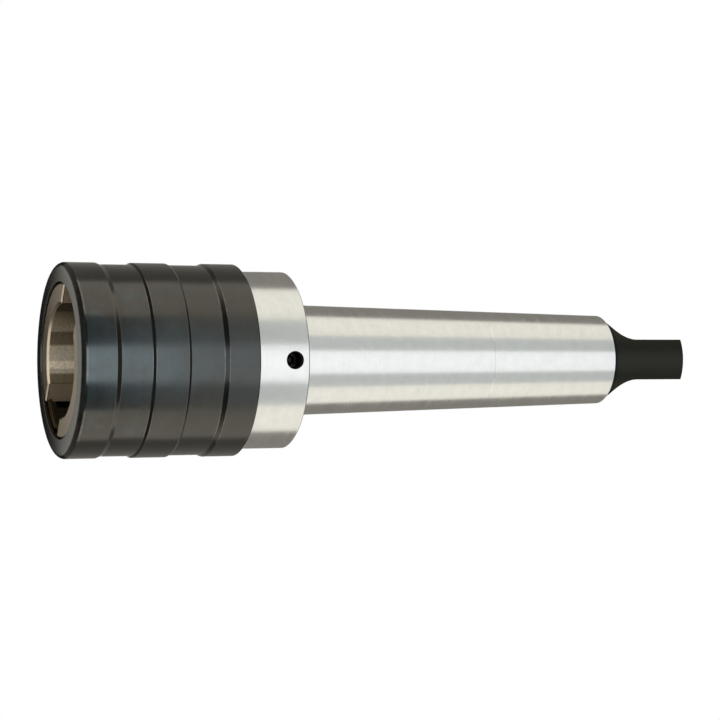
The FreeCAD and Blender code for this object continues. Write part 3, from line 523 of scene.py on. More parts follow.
# %% ground steel with a black tang
GROUND_STEEL = (0.88, 0.88, 0.875)
STEEL_SHADES, STEEL_CLOUDS = (0.88, 1.12), (0.92, 1.08)
STEEL_ROUGHNESS = (0.14, 0.34)
STEEL_ANISOTROPY = 0.6
STEEL_RELIEF = 0.005
QUARTER_TURN = 0.25
SCRIBE_X, SCRIBE_HALF_WIDTH = 54.35, 0.16
SCRIBE_SHOWS, SCRIBE_GREY = 0.16, (0.3, 0.3, 0.3)
SCRIBE_HIGHLIGHT_HALF_WIDTH = 0.22
SCRIBE_HIGHLIGHT_HEIGHT, SCRIBE_HIGHLIGHT_HALF_LENGTH = 7.4, 2.2
SCRIBE_HIGHLIGHT_SHOWS, SCRIBE_HIGHLIGHT_WHITE = 0.75, (1.0, 1.0, 0.99)
TANG_START, TANG_EDGE = 94.15, 0.08
TANG_BLACK, TANG_ROUGHNESS = (0.052, 0.051, 0.043), 0.55
EDGE_HIGHLIGHT_BLUE, EDGE_HIGHLIGHT_WIDTH = (0.46, 0.52, 0.70), 0.4
TANG_EDGE_NAVY, NAVY_WIDTH = (0.008, 0.008, 0.034), 1.4
HOLE_START, HOLE_END = -13.6, -8.1
HOLE_MOUTH_R = 24.85
HOLE_SHADE_BLACK = (0.012, 0.011, 0.010)


def ground_steel():
    """The steel of the shank and the collar, with its scribed ring, black tang, painted highlights and the
    painted shade in its holes.
    """
    material, tree, shader = finish("turned_steel")
    rings = mark(tree, "turning_marks", Rings_per_mm=2.4, Length_of_a_mark=0.22)
    shade = ranged(tree, rings["Tone"], *STEEL_SHADES)
    cloudy = ranged(tree, cloud(tree, 3.0, detail=5.0), *STEEL_CLOUDS)
    steel = tone(tree, GROUND_STEEL, calc(tree, "MULTIPLY", shade, cloudy))
    x, _, z = split_in_mm(tree)
    scribe = calc(tree, "COMPARE", x, SCRIBE_X, SCRIBE_HALF_WIDTH)
    steel = tint(tree, calc(tree, "MULTIPLY", scribe, SCRIBE_SHOWS), steel, SCRIBE_GREY)
    # A painted highlight on the scribed ring: two short white pieces, above and below the axis.
    scribe_highlight = calc(tree, "COMPARE", calc(tree, "ABSOLUTE", z), SCRIBE_HIGHLIGHT_HEIGHT, SCRIBE_HIGHLIGHT_HALF_LENGTH)
    scribe_highlight = calc(tree, "MULTIPLY", scribe_highlight, calc(tree, "COMPARE", x, SCRIBE_X, SCRIBE_HIGHLIGHT_HALF_WIDTH))
    steel = tint(tree, calc(tree, "MULTIPLY", scribe_highlight, SCRIBE_HIGHLIGHT_SHOWS), steel, SCRIBE_HIGHLIGHT_WHITE)
    # A painted highlight: a thin pale blue line where the ground steel meets the black tang.
    steel = tint(tree, behind(tree, TANG_START - EDGE_HIGHLIGHT_WIDTH / 2, EDGE_HIGHLIGHT_WIDTH), steel, EDGE_HIGHLIGHT_BLUE)
    black = tint(tree, behind(tree, TANG_START + NAVY_WIDTH / 2, NAVY_WIDTH), TANG_EDGE_NAVY, TANG_BLACK)
    tang = behind(tree, TANG_START, TANG_EDGE)
    # Painted shade: the walls of the filling holes turn near black.
    before = calc(tree, "SUBTRACT", 1.0, behind(tree, HOLE_END))
    deep = mark(tree, "inside_radius", Radius_in_mm=HOLE_MOUTH_R)["Mask"]
    hole = calc(tree, "MULTIPLY", calc(tree, "MULTIPLY", behind(tree, HOLE_START), before), deep)
    colour = tint(tree, hole, tint(tree, tang, steel, black), HOLE_SHADE_BLACK)
    join(tree, colour, shader.inputs["Base Color"])
    uneven = ranged(tree, rings["Tone"], *STEEL_ROUGHNESS)
    join(tree, blend(tree, tang, uneven, TANG_ROUGHNESS), shader.inputs["Roughness"])
    arms = {0: place_in_mm(tree), 1: (1.0, 0.0, 0.0)}
    round_it = add(tree, "ShaderNodeVectorMath", arms, operation="CROSS_PRODUCT")
    join(tree, round_it.outputs[0], shader.inputs["Tangent"])
    shader.inputs["Anisotropic"].default_value = STEEL_ANISOTROPY
    shader.inputs["Anisotropic Rotation"].default_value = QUARTER_TURN
    engrave(tree, shader, rings["Height"], STEEL_RELIEF)
    return material


# %% [markdown]
# The sleeve is black oxide over turned steel. The oxide is a thin clear film: seen straight on it is
# blue-black, and seen aslant it turns brown and darker, in patches. So the finish is a dark metal under a
# coat, and its colour goes with the slant. It grows a little darker and duller towards the rear, and a thin
# grey line along its edges is partly rubbed wear and partly a painted highlight.

# %% black oxide
OXIDE_FRONT = (0.098, 0.124, 0.135)
OXIDE_REAR = (0.064, 0.070, 0.071)
OXIDE_ASLANT = (0.069, 0.065, 0.056)
ASLANT_FROM, ASLANT_FULL = 0.05, 0.18
PATCHINESS = 2.4
OXIDE_STREAKS, OXIDE_CLOUDS = (0.85, 1.15), (0.8, 1.2)
RUBBED_OXIDE_AND_HIGHLIGHT = (0.34, 0.33, 0.31)
OXIDE_ROUGHNESS = (0.165, 0.22)
RINGS_DULL = 0.04
FILM_WEIGHT, FILM_ROUGHNESS = 0.7, 0.2
OXIDE_RELIEF = 0.002
SLEEVE_FRONT_X, SLEEVE_REAR_X = -66.0, -30.0


def stretched(tree, value, start, end, low=0.0, high=1.0):
    """A number that goes from low to high as a value goes from start to end, and no further."""
    inputs = {"Value": value, "From Min": start, "From Max": end, "To Min": low, "To Max": high}
    return add(tree, "ShaderNodeMapRange", inputs).outputs[0]


def black_oxide():
    """The sleeve's finish."""
    material, tree, shader = finish("black_oxide")
    # The edge mark turns edges grey: partly rubbed wear, partly a painted highlight, as along the front
    # rounding.
    edge = add(tree, "ShaderNodeAttribute", attribute_name="rubbed_and_highlit").outputs["Fac"]
    brightened = mark(tree, "rubbed_edges_and_highlights", Edge=edge)["Mask"]
    clouds = cloud(tree, 3.5, detail=5.0)
    rings = mark(tree, "turning_marks", Rings_per_mm=1.6, Length_of_a_mark=0.04)["Tone"]
    slant = add(tree, "ShaderNodeLayerWeight", {"Blend": 0.5}).outputs["Facing"]
    leaning = stretched(tree, slant, ASLANT_FROM, ASLANT_FULL, -PATCHINESS / 2, 1.0 - PATCHINESS / 2)
    aslant = clamped(tree, calc(tree, "MULTIPLY_ADD", cloud(tree, 8.0, detail=5.0), PATCHINESS, leaning))
    rear = stretched(tree, split_in_mm(tree)["X"], SLEEVE_FRONT_X, SLEEVE_REAR_X)
    film = tint(tree, aslant, tint(tree, rear, OXIDE_FRONT, OXIDE_REAR), OXIDE_ASLANT)
    streaky, cloudy = ranged(tree, rings, *OXIDE_STREAKS), ranged(tree, clouds, *OXIDE_CLOUDS)
    film = tone(tree, film, calc(tree, "MULTIPLY", streaky, cloudy))
    join(tree, tint(tree, brightened, film, RUBBED_OXIDE_AND_HIGHLIGHT), shader.inputs["Base Color"])
    rearwards = ranged(tree, rear, *OXIDE_ROUGHNESS)
    join(tree, calc(tree, "MULTIPLY_ADD", rings, RINGS_DULL, rearwards), shader.inputs["Roughness"])
    shader.inputs["Coat Weight"].default_value = FILM_WEIGHT
    shader.inputs["Coat Roughness"].default_value = FILM_ROUGHNESS
    engrave(tree, shader, clouds, OXIDE_RELIEF)
    return material


# %% [markdown]
# The spindle is hardened, and its front face and chamfers are ground to a warm brown-grey metal. Behind
# them, in the slots and the bore, the wall is paler and almost matt, with fine pits. Light bands are
# painted along the bore, evenly round the axis, as painted reflections; the wall is painted darker brown
# towards the top and the bottom as painted shade, and one streak on its far wall is a painted highlight.
# The bottom of the bore is plainly turned. The finish asks where on the axis and how far from it a point
# is, and changes there.

# %% hardened spindle
FURNACE_BROWN = (0.58, 0.49, 0.39)
HONED_BEIGE = (0.64, 0.57, 0.47)
BORE_DARK_BROWN = (0.62, 0.46, 0.25)
SKIN_SHADES, PIT_SHADES, BOTTOM_SHADES = (0.8, 1.2), (0.55, 1.45), (0.2, 0.5)
SKIN_ROUGHNESS = (0.24, 0.36)
INSIDE_METALLIC, INSIDE_ROUGHNESS = 0.4, 0.5
SPINDLE_RELIEF = 0.003
HONED_R = 15.75
SLOT_WALL = 0.5
INSIDE_FROM = -69.62
BORE_BOTTOM_X = -38.85
PAINTED_BANDS = 8.0
PAINTED_BAND_PLACE = math.radians(1.2)
PAINTED_BAND_STEEPNESS, PAINTED_BAND_BREADTH = 3.0, 1.9
BETWEEN_PAINTED_BANDS, IN_A_PAINTED_BAND = 0.30, 0.92
NEAR_WALL = 0.05
STREAKS_ALONG, STREAKS_ROUND = 0.12, 14.0
STREAK_SHADES = (0.65, 1.35)
HIGHLIGHT_PLACE, HIGHLIGHT_HALF, HIGHLIGHT_SOFT = -0.10, 0.085, 0.03
HIGHLIGHT_BRIGHTER = 1.5


def painted_bore_light():
    """How pale the bore is: painted reflection bands, painted shade at top and bottom, a painted highlight.
    """
    group, _, result = new_group("painted_bore_light", {}, ["Tone"])
    x, y, z = split_in_mm(group)
    # Light bands painted evenly round the axis stand in for reflections in the bore.
    angle = calc(group, "SUBTRACT", calc(group, "ARCTAN2", z, y), PAINTED_BAND_PLACE)
    wave = calc(group, "COSINE", calc(group, "MULTIPLY", angle, PAINTED_BANDS))
    painted_band = clamped(group, calc(group, "MULTIPLY_ADD", wave, PAINTED_BAND_STEEPNESS, PAINTED_BAND_BREADTH))
    pale = ranged(group, painted_band, BETWEEN_PAINTED_BANDS, IN_A_PAINTED_BAND)
    # Painted shade: the wall darkens towards the top and the bottom of the bore.
    far = calc(group, "POWER", calc(group, "COSINE", angle), 2.0)
    shade = calc(group, "MULTIPLY_ADD", far, pale, NEAR_WALL)
    streak_place = {0: calc(group, "MULTIPLY", x, STREAKS_ALONG), 1: angle}
    streak_place = add(group, "ShaderNodeCombineXYZ", streak_place).outputs[0]
    streaky = ranged(group, noise(group, streak_place, STREAKS_ROUND, detail=3.0), *STREAK_SHADES)
    # A painted highlight: one streak on the far wall, just below the middle, is made brighter.
    off_highlight = calc(group, "ABSOLUTE", calc(group, "SUBTRACT", angle, HIGHLIGHT_PLACE))
    brightened = clamped(group, calc(group, "DIVIDE", calc(group, "SUBTRACT", HIGHLIGHT_HALF, off_highlight), HIGHLIGHT_SOFT))
    brighter = calc(group, "MULTIPLY", ranged(group, brightened, 1.0, HIGHLIGHT_BRIGHTER), streaky)
    join(group, calc(group, "MULTIPLY", shade, brighter), result["Tone"])
    return group


MARKS["painted_bore_light"] = painted_bore_light()


def hardened_steel():
    """The spindle's finish, ground outside and honed inside."""
    material, tree, shader = finish("spindle_steel")
    clouds, pits = cloud(tree, 1.1, detail=5.0), cloud(tree, 0.45, detail=2.0)
    inside, bottom = behind(tree, INSIDE_FROM), behind(tree, BORE_BOTTOM_X)
    bore = mark(tree, "inside_radius", Radius_in_mm=HONED_R)["Mask"]
    tooled = ranged(tree, mark(tree, "turning_marks", Rings_per_mm=2.0)["Tone"], *BOTTOM_SHADES)
    walls = blend(tree, bore, SLOT_WALL, mark(tree, "painted_bore_light")["Tone"])
    pale = blend(tree, bottom, walls, tooled)
    skin = tone(tree, FURNACE_BROWN, ranged(tree, clouds, *SKIN_SHADES))
    pitted = calc(tree, "MULTIPLY", pale, ranged(tree, pits, *PIT_SHADES))
    # Where the bore's tone is low, as in its painted shade, the colour runs from beige to dark brown.
    honed = tone(tree, tint(tree, pale, BORE_DARK_BROWN, HONED_BEIGE), pitted)
    join(tree, tint(tree, inside, skin, honed), shader.inputs["Base Color"])
    join(tree, blend(tree, inside, 1.0, INSIDE_METALLIC), shader.inputs["Metallic"])
    rough = blend(tree, inside, ranged(tree, clouds, *SKIN_ROUGHNESS), INSIDE_ROUGHNESS)
    join(tree, rough, shader.inputs["Roughness"])
    engrave(tree, shader, clouds, SPINDLE_RELIEF)
    return material


# %% [markdown]
# The small parts are simpler: a tempered brown wire ring, grey steel springs, polished balls, brass for
# the cage, blackened screws, and rubber. They share one recipe of a colour that varies a little and a
# roughness that varies with it, on the same blotches as the big parts.

# %% small parts
PLAIN_PATCH, PLAIN_RELIEF = 2.0, 0.001


def plain_finish(name, colour, roughness, metallic=1.0, contrast=0.25):
    """A colour and a roughness that vary a little together."""
    material, tree, shader = finish(name, metallic)
    clouds = cloud(tree, PLAIN_PATCH)
    lively = tone(tree, colour, ranged(tree, clouds, 1 - contrast, 1 + contrast))
    join(tree, lively, shader.inputs["Base Color"])
    join(tree, ranged(tree, clouds, 0.9 * roughness, 1.1 * roughness), shader.inputs["Roughness"])
    engrave(tree, shader, clouds, PLAIN_RELIEF)
    return material


finishes = {
    "turned_steel": ground_steel(),
    "black_oxide": black_oxide(),
    "spindle_steel": hardened_steel(),
    "ring_steel": plain_finish("ring_steel", (0.20, 0.13, 0.08), 0.3),
    "spring_steel": plain_finish("spring_steel", (0.34, 0.34, 0.35), 0.3),
    "ball_steel": plain_finish("ball_steel", (0.82, 0.82, 0.83), 0.1, contrast=0.02),
    "fastener_steel": plain_finish("fastener_steel", (0.05, 0.05, 0.05), 0.35),
    "cage_brass": plain_finish("cage_brass", (0.62, 0.48, 0.24), 0.3, contrast=0.08),
    "black_rubber": plain_finish("black_rubber", (0.03, 0.03, 0.03), 0.6, metallic=0.0),
}
slots = {piece["node"]: piece["material_slot"] for piece in frame["record"]["subparts"]}
for node, thing in nodes.items():
    thing.data.materials.clear()
    thing.data.materials.append(finishes[slots[node]])
print(len(finishes), "finishes on", len(nodes), "nodes")

# %% [markdown]
# Most of this chuck is made by two rules: it is turned on a lathe, or it is wound. A Geometry Nodes tree
# holds each rule. The outline goes in as a plain loop of points, along and out, and the tree swings it
# round the axis, or round and along it. A third tree sets copies round the axis. What comes out is kept
# as one plain mesh, so the rule isn't needed again when the piece moves.

# %% helpers for the rules
WELD = 1e-6


def new_rule(name, inputs):
    """A Geometry Nodes tree with a geometry input and named inputs; gives the tree and what comes in."""
    tree = bpy.data.node_groups.new(name, "GeometryNodeTree")
    tree.interface.new_socket("Geometry", in_out="INPUT", socket_type="NodeSocketGeometry")
    for label, kind in inputs.items():
        tree.interface.new_socket(label, in_out="INPUT", socket_type="NodeSocket" + kind)
    tree.interface.new_socket("Geometry", in_out="OUTPUT", socket_type="NodeSocketGeometry")
    return tree, tree.nodes.new("NodeGroupInput").outputs


def hand_out(tree, geometry, material):
    """The end of every rule: copies become real, the finish goes on."""
    real = add(tree, "GeometryNodeRealizeInstances", {"Geometry": geometry}).outputs[0]
    dressed = add(tree, "GeometryNodeSetMaterial", {"Geometry": real, "Material": material}).outputs[0]
    add(tree, "NodeGroupOutput", {"Geometry": dressed})


def sweep_grid(tree, outline, rows):
    """A sheet of points, one row per step of the sweep and one column per point of the outline."""
    count = add(tree, "GeometryNodeAttributeDomainSize", {"Geometry": outline}).outputs["Point Count"]
    columns = calc(tree, "ADD", count, 1.0)
    size = {"Vertices X": calc(tree, "ADD", rows, 1.0), "Vertices Y": columns}
    sheet = add(tree, "GeometryNodeMeshGrid", size).outputs["Mesh"]
    index = add(tree, "GeometryNodeInputIndex").outputs[0]
    row = calc(tree, "FLOOR", calc(tree, "DIVIDE", calc(tree, "ADD", index, 0.5), columns))
    column = calc(tree, "SUBTRACT", index, calc(tree, "MULTIPLY", row, columns))
    return sheet, row, calc(tree, "FLOORED_MODULO", column, count)


def read_outline(tree, outline, column, value, data_type):
    """What the outline holds at a column of the sheet."""
    inputs = {"Geometry": outline, "Value": value, "Index": column}
    return add(tree, "GeometryNodeSampleIndex", inputs, data_type=data_type).outputs[0]


def along_and_out(tree, outline, column):
    """The outline's two measures at a column of the sheet."""
    position = add(tree, "GeometryNodeInputPosition").outputs[0]
    here = read_outline(tree, outline, column, position, "FLOAT_VECTOR")
    along, out, _ = add(tree, "ShaderNodeSeparateXYZ", {0: here}).outputs
    return along, out


def swing(tree, sheet, x, radius, angle):
    """Put the sheet's points round the axis, +Y first and then +Z, close its seams and shade it smooth."""
    y = calc(tree, "MULTIPLY", radius, calc(tree, "COSINE", angle))
    z = calc(tree, "MULTIPLY", radius, calc(tree, "SINE", angle))
    place = add(tree, "ShaderNodeCombineXYZ", {0: x, 1: y, 2: z}).outputs[0]
    placed = add(tree, "GeometryNodeSetPosition", {"Geometry": sheet, "Position": place}).outputs[0]
    welded = add(tree, "GeometryNodeMergeByDistance", {"Geometry": placed, "Distance": WELD}).outputs[0]
    return add(tree, "GeometryNodeSetShadeSmooth", {"Geometry": welded}).outputs[0]


# %% [markdown]
# The three rules follow. The wound one counts how far the wire has come in its close turns and in its open
# ones, because they climb at different rates, and it thins the section towards both ends.

# %% the three rules
def turned_rule():
    """Swing the outline once round the axis."""
    tree, given = new_rule("turned_on_the_lathe", {"Steps": "Int", "Finish": "Material"})
    outline = given["Geometry"]
    sheet, row, column = sweep_grid(tree, outline, given["Steps"])
    x, radius = along_and_out(tree, outline, column)
    angle = calc(tree, "DIVIDE", calc(tree, "MULTIPLY", row, math.tau), given["Steps"])
    held = add(tree, "GeometryNodeInputNamedAttribute", {"Name": "rubbed_and_highlit"}, data_type="FLOAT").outputs[0]
    rubbed_and_highlit = read_outline(tree, outline, column, held, "FLOAT")
    stored = {"Geometry": sheet, "Name": "rubbed_and_highlit", "Value": rubbed_and_highlit}
    marked = add(tree, "GeometryNodeStoreNamedAttribute", stored, data_type="FLOAT", domain="POINT")
    hand_out(tree, swing(tree, marked.outputs[0], x, radius, angle), given["Finish"])
    return tree


def wound_rule():
    """Wind the outline round and along the axis. Its end turns lie close and taper to nothing."""
    measures = ("Turns", "Closed Turns", "Closed Pitch", "Length", "Radius", "Taper Turns")
    kinds = {**dict.fromkeys(measures, "Float"), "Steps per Turn": "Int", "Finish": "Material"}
    tree, given = new_rule("wound_on_a_mandrel", kinds)
    outline = given["Geometry"]
    rows = calc(tree, "ROUND", calc(tree, "MULTIPLY", given["Turns"], given["Steps per Turn"]))
    sheet, row, column = sweep_grid(tree, outline, rows)
    across, out = along_and_out(tree, outline, column)
    turn = calc(tree, "MULTIPLY", calc(tree, "DIVIDE", row, rows), given["Turns"])
    left = calc(tree, "SUBTRACT", given["Turns"], turn)
    closed = given["Closed Turns"]
    closed_after = calc(tree, "MAXIMUM", calc(tree, "SUBTRACT", closed, left), 0.0)
    closed_run = calc(tree, "ADD", calc(tree, "MINIMUM", turn, closed), closed_after)
    open_run = calc(tree, "SUBTRACT", turn, closed_run)
    open_turns = calc(tree, "SUBTRACT", given["Turns"], calc(tree, "MULTIPLY", closed, 2.0))
    closed_length = calc(tree, "MULTIPLY", calc(tree, "MULTIPLY", closed, 2.0), given["Closed Pitch"])
    pitch = calc(tree, "DIVIDE", calc(tree, "SUBTRACT", given["Length"], closed_length), open_turns)
    closed_rise = calc(tree, "MULTIPLY", closed_run, given["Closed Pitch"])
    rise = calc(tree, "ADD", closed_rise, calc(tree, "MULTIPLY", open_run, pitch))
    nearest_end = calc(tree, "DIVIDE", calc(tree, "MINIMUM", turn, left), given["Taper Turns"])
    thick = calc(tree, "SQRT", clamped(tree, nearest_end))
    x = calc(tree, "ADD", rise, calc(tree, "MULTIPLY", across, thick))
    radius = calc(tree, "ADD", given["Radius"], calc(tree, "MULTIPLY", out, thick))
    angle = calc(tree, "MULTIPLY", turn, math.tau)
    hand_out(tree, swing(tree, sheet, x, radius, angle), given["Finish"])
    return tree


def copies_rule():
    """Set copies of a piece evenly round the X axis."""
    tree, given = new_rule("copies_round_the_axis", {"Count": "Int", "Finish": "Material"})
    start = {"Count": given["Count"], "Offset": (0.0, 0.0, 0.0)}
    places = add(tree, "GeometryNodeMeshLine", start).outputs[0]
    index = add(tree, "GeometryNodeInputIndex").outputs[0]
    angle = calc(tree, "DIVIDE", calc(tree, "MULTIPLY", index, math.tau), given["Count"])
    turn = add(tree, "ShaderNodeCombineXYZ", {0: angle}).outputs[0]
    set_out = {"Points": places, "Instance": given["Geometry"], "Rotation": turn}
    hand_out(tree, add(tree, "GeometryNodeInstanceOnPoints", set_out).outputs[0], given["Finish"])
    return tree


TURNED, WOUND, COPIES = turned_rule(), wound_rule(), copies_rule()
print("rules:", ", ".join(rule.name for rule in (TURNED, WOUND, COPIES)))

# %% [markdown]
# A rule is run on an outline once, and the result is kept. If the faces of a piece look inwards, its
# volume comes out negative, and it is turned inside out.

# %% running a rule
def signed_volume(mesh):
    """Volume of a closed mesh, negative when its faces look inwards."""
    mesh.calc_loop_triangles()
    total = 0.0
    for triangle in mesh.loop_triangles:
        a, b, c = (mesh.vertices[number].co for number in triangle.vertices)
        total += a.dot(b.cross(c)) / 6
    return total


def follow(rule, name, mesh, slot, **inputs):
    """Run a rule on a mesh and keep the result as a piece with one plain mesh, facing outwards."""
    piece = bpy.data.objects.new(name, mesh)
    bpy.context.scene.collection.objects.link(piece)
    step = piece.modifiers.new("rule", "NODES")
    step.node_group = rule
    sockets = rule.interface.items_tree
    identifiers = {item.name: item.identifier for item in sockets if item.in_out == "INPUT"}
    for label, value in {**inputs, "Finish": finishes[slot]}.items():
        step[identifiers[label.replace("_", " ")]] = value
    shaped = piece.evaluated_get(bpy.context.evaluated_depsgraph_get())
    result = bpy.data.meshes.new_from_object(shaped)
    piece.modifiers.remove(step)
    piece.data = result
    result.name = name
    if signed_volume(result) < 0:
        result.flip_normals()
    return piece


def report(piece):
    """Print how many faces a piece has and how much steel it holds."""
    faces = len(piece.data.polygons)
    print(f"{piece.name}: {faces} faces, {signed_volume(piece.data) * 1e9:.1f} cubic millimetres")


# %% [markdown]
# No edge on a real part is perfectly sharp, and the light line along a rounded edge is what tells the eye
# how big it is. So an outline is given by its corners only, each with its radius, and every corner is
# replaced by a short arc. A point just beside each arc keeps the long flats straight in the shading. A
# corner may also carry a mark for the finish that lightens it, partly as rubbed wear and partly as a
# painted highlight.

# %% outlines with rounded corners
SMALL_ROUND = 0.08
FINE_ARC, BROAD_ARC = 3, 8
BROAD_FROM = 0.6
REACH_SHARE = 0.45
HOLD, LONG_FLAT = 0.14, 4


def rounded(corners):
    """Points and edge marks of a closed outline from (station, radius, round, mark) corners."""
    points, marks = [], []
    for number, (station, radius, bend, rubbed_and_highlit) in enumerate(corners):
        corner = Vector((station, radius))
        back = Vector(corners[number - 1][:2]) - corner
        on = Vector(corners[(number + 1) % len(corners)][:2]) - corner
        half = back.angle(on) / 2
        reach = min(bend / math.tan(half), REACH_SHARE * back.length, REACH_SHARE * on.length)
        inwards = (back.normalized() + on.normalized()).normalized()
        middle = corner + inwards * (reach * math.tan(half) / math.sin(half))
        first = corner + back.normalized() * reach - middle
        last = corner + on.normalized() * reach - middle
        sweep = first.angle(last)
        if back.length > LONG_FLAT * (reach + HOLD):
            points.append(corner + back.normalized() * (reach + HOLD))
            marks.append(0.0)
        steps = BROAD_ARC if bend > BROAD_FROM else FINE_ARC
        for step in range(steps + 1):
            share = step / steps
            arm = first * math.sin((1 - share) * sweep) + last * math.sin(share * sweep)
            points.append(middle + arm / math.sin(sweep))
            marks.append(rubbed_and_highlit)
        if on.length > LONG_FLAT * (reach + HOLD):
            points.append(corner + on.normalized() * (reach + HOLD))
            marks.append(0.0)
    return points, marks


def outline_mesh(name, points, marks=None, origin=0.0):
    """A loop of (along, out) points in millimetres as a mesh of points in metres."""
    mesh = bpy.data.meshes.new(name + "_outline")
    mesh.from_pydata([((x - origin) * MM, r * MM, 0.0) for x, r in points], [], [])
    rubbed_and_highlit = mesh.attributes.new("rubbed_and_highlit", "FLOAT", "POINT")
    rubbed_and_highlit.data.foreach_set("value", marks or [0.0] * len(points))
    return mesh


# %% [markdown]
# The sleeve is the part that a hand takes hold of. Three raised bands stand half a millimetre proud with
# slopes between them, and inside are the counterbore, the release groove, the cone over the lock balls
# and the long spring pocket. All of it is one outline for the lathe.

# %% locking sleeve
SLEEVE_R, GROOVE_R = 27.0, 26.5
LAND_R, RELEASE_R, POCKET_R, WIPER_R = 21.15, 22.65, 25.2, 26.2
COUNTERBORE_R = 21.55
BAND_ROUND, VALLEY_ROUND, REAR_ROUND = 0.22, 0.3, 0.15
# How much the band slopes' edges are lightened, partly as rubbed wear and partly as painted highlight.
RUB_AND_HIGHLIGHT = 0.75
SLEEVE_STEPS = 256
sleeve_corners = [
    (0.0, COUNTERBORE_R, 0.12, 0.4),
    # The front rounding's mark is a painted highlight along it.
    (0.0, SLEEVE_R, 1.6, 0.5),
    (9.5, SLEEVE_R, BAND_ROUND, 0.25),
    (10.8, GROOVE_R, VALLEY_ROUND, 0.0),
    (19.4, GROOVE_R, BAND_ROUND, RUB_AND_HIGHLIGHT),
    (20.1, SLEEVE_R, BAND_ROUND, RUB_AND_HIGHLIGHT),
    (29.35, SLEEVE_R, BAND_ROUND, 0.2),
    (30.0, GROOVE_R, VALLEY_ROUND, 0.0),
    (39.35, GROOVE_R, VALLEY_ROUND, RUB_AND_HIGHLIGHT),
    (40.65, SLEEVE_R, BAND_ROUND, RUB_AND_HIGHLIGHT),
    (49.1, SLEEVE_R, REAR_ROUND, 0.2),
    (49.5, 26.6, REAR_ROUND, 0.2),
]
inner_corners = [
    (49.5, POCKET_R),
    (48.0, POCKET_R),
    (48.0, WIPER_R),
    (46.5, WIPER_R),
    (46.5, POCKET_R),
    (14.57, POCKET_R),
    (14.57, LAND_R),
    (11.77, LAND_R),
    (6.77, RELEASE_R),
    (3.6, RELEASE_R),
    (3.6, LAND_R),
    (2.35, LAND_R),
    (2.35, COUNTERBORE_R),
]
sleeve_corners += [(station, radius, SMALL_ROUND, 0.0) for station, radius in inner_corners]
sleeve_points, sleeve_marks = rounded(sleeve_corners)
sleeve_outline = outline_mesh("black_sleeve", sleeve_points, sleeve_marks, origin=GAUGE_STATION)
sleeve = follow(TURNED, "black_sleeve", sleeve_outline, "black_oxide", Steps=SLEEVE_STEPS)
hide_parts("locking_sleeve")
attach(sleeve, "sleeve")
report(sleeve)

# %% [markdown]
# A round brown wire ring keeps the sleeve on the spindle. It is seen through the lower driver slot, with
# its gap near the bottom. The three springs are wound wire with closed ends. Ring and springs come from
# the same rule: a round wire outline, so many turns, so long, so wide.

# %% ring and springs
WIRE_SIDES = 14
CLOSE_WOUND = 1.02
RING_MIDDLE_R, RING_WIRE_R = 20.9, 0.6
RING_STATION = 1.7
RING_GAP, RING_GAP_PLACE = 9.0, 290.0
RING_TAPER, RING_STEPS = 0.004, 160
SPRING_TAPER, SPRING_STEPS = 0.3, 48
SPRING_CLOSED_TURNS = 0.9
ROD_WIRE, ROD_SPRING_R = (0.75, 0.75), 4.4
SLEEVE_WIRE, SLEEVE_SPRING_R = (0.45, 1.2), 22.9


def wound(name, slot, section, radius, turns, length, closed, taper, steps):
    """Wire wound round the X axis from X = 0; the section is its half size along and across."""
    along, across = section
    angles = [math.tau * number / WIRE_SIDES for number in range(WIRE_SIDES)]
    outline = outline_mesh(name, [(along * math.cos(angle), across * math.sin(angle)) for angle in angles])
    return follow(WOUND, name, outline, slot, Turns=turns, Closed_Turns=closed,
                  Closed_Pitch=2 * along * MM * CLOSE_WOUND, Length=length * MM, Radius=radius * MM,
                  Steps_per_Turn=steps, Taper_Turns=taper)


ring = wound("wire_ring", "ring_steel", (RING_WIRE_R, RING_WIRE_R), RING_MIDDLE_R,
             turns=(360 - RING_GAP) / 360, length=0.0, closed=0.0, taper=RING_TAPER, steps=RING_STEPS)
ring_turn = Matrix.Rotation(math.radians(RING_GAP_PLACE + RING_GAP / 2), 4, "X")
ring.data.transform(Matrix.Translation((at(RING_STATION), 0, 0)) @ ring_turn)
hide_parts("sleeve_retaining_ring")
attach(ring, "spindle")
report(ring)


def spring(name, node, body, first, last, section, radius, turns):
    """A spring between two stations that stands for its CAD node, with closed, tapered turns at both ends.
    """
    length = last - first - 2 * section[0]
    piece = wound(name, "spring_steel", section, radius, turns, length,
                  closed=SPRING_CLOSED_TURNS, taper=SPRING_TAPER, steps=SPRING_STEPS)
    piece.data.transform(Matrix.Translation((at(first + section[0]), 0, 0)))
    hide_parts(node)
    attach(piece, body)
    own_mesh(piece)
    report(piece)


spring("front_rod_spring", "compression_spring", "shank",
       first=43.0, last=68.0, section=ROD_WIRE, radius=ROD_SPRING_R, turns=9.0)
spring("rear_rod_spring", "tension_spring", "shank",
       first=72.0, last=93.0, section=ROD_WIRE, radius=ROD_SPRING_R, turns=8.0)
spring("sleeve_return_spring", "sleeve_spring", "spindle", first=14.57, last=21.17,
       section=SLEEVE_WIRE, radius=SLEEVE_SPRING_R, turns=3.6)

# %% [markdown]
# Three tapped holes in the collar let the torque balls in, and a set screw closes each, well below the
# surface. The threads of hole and screw are wound too, from a three-cornered outline. Screw and threads
# are made once, lying along X, turned to point out of the collar, and copied three times round. The two
# profiles of the screw list a height and, for the outside, the radius there, or, for the socket, the
# width across its flats.

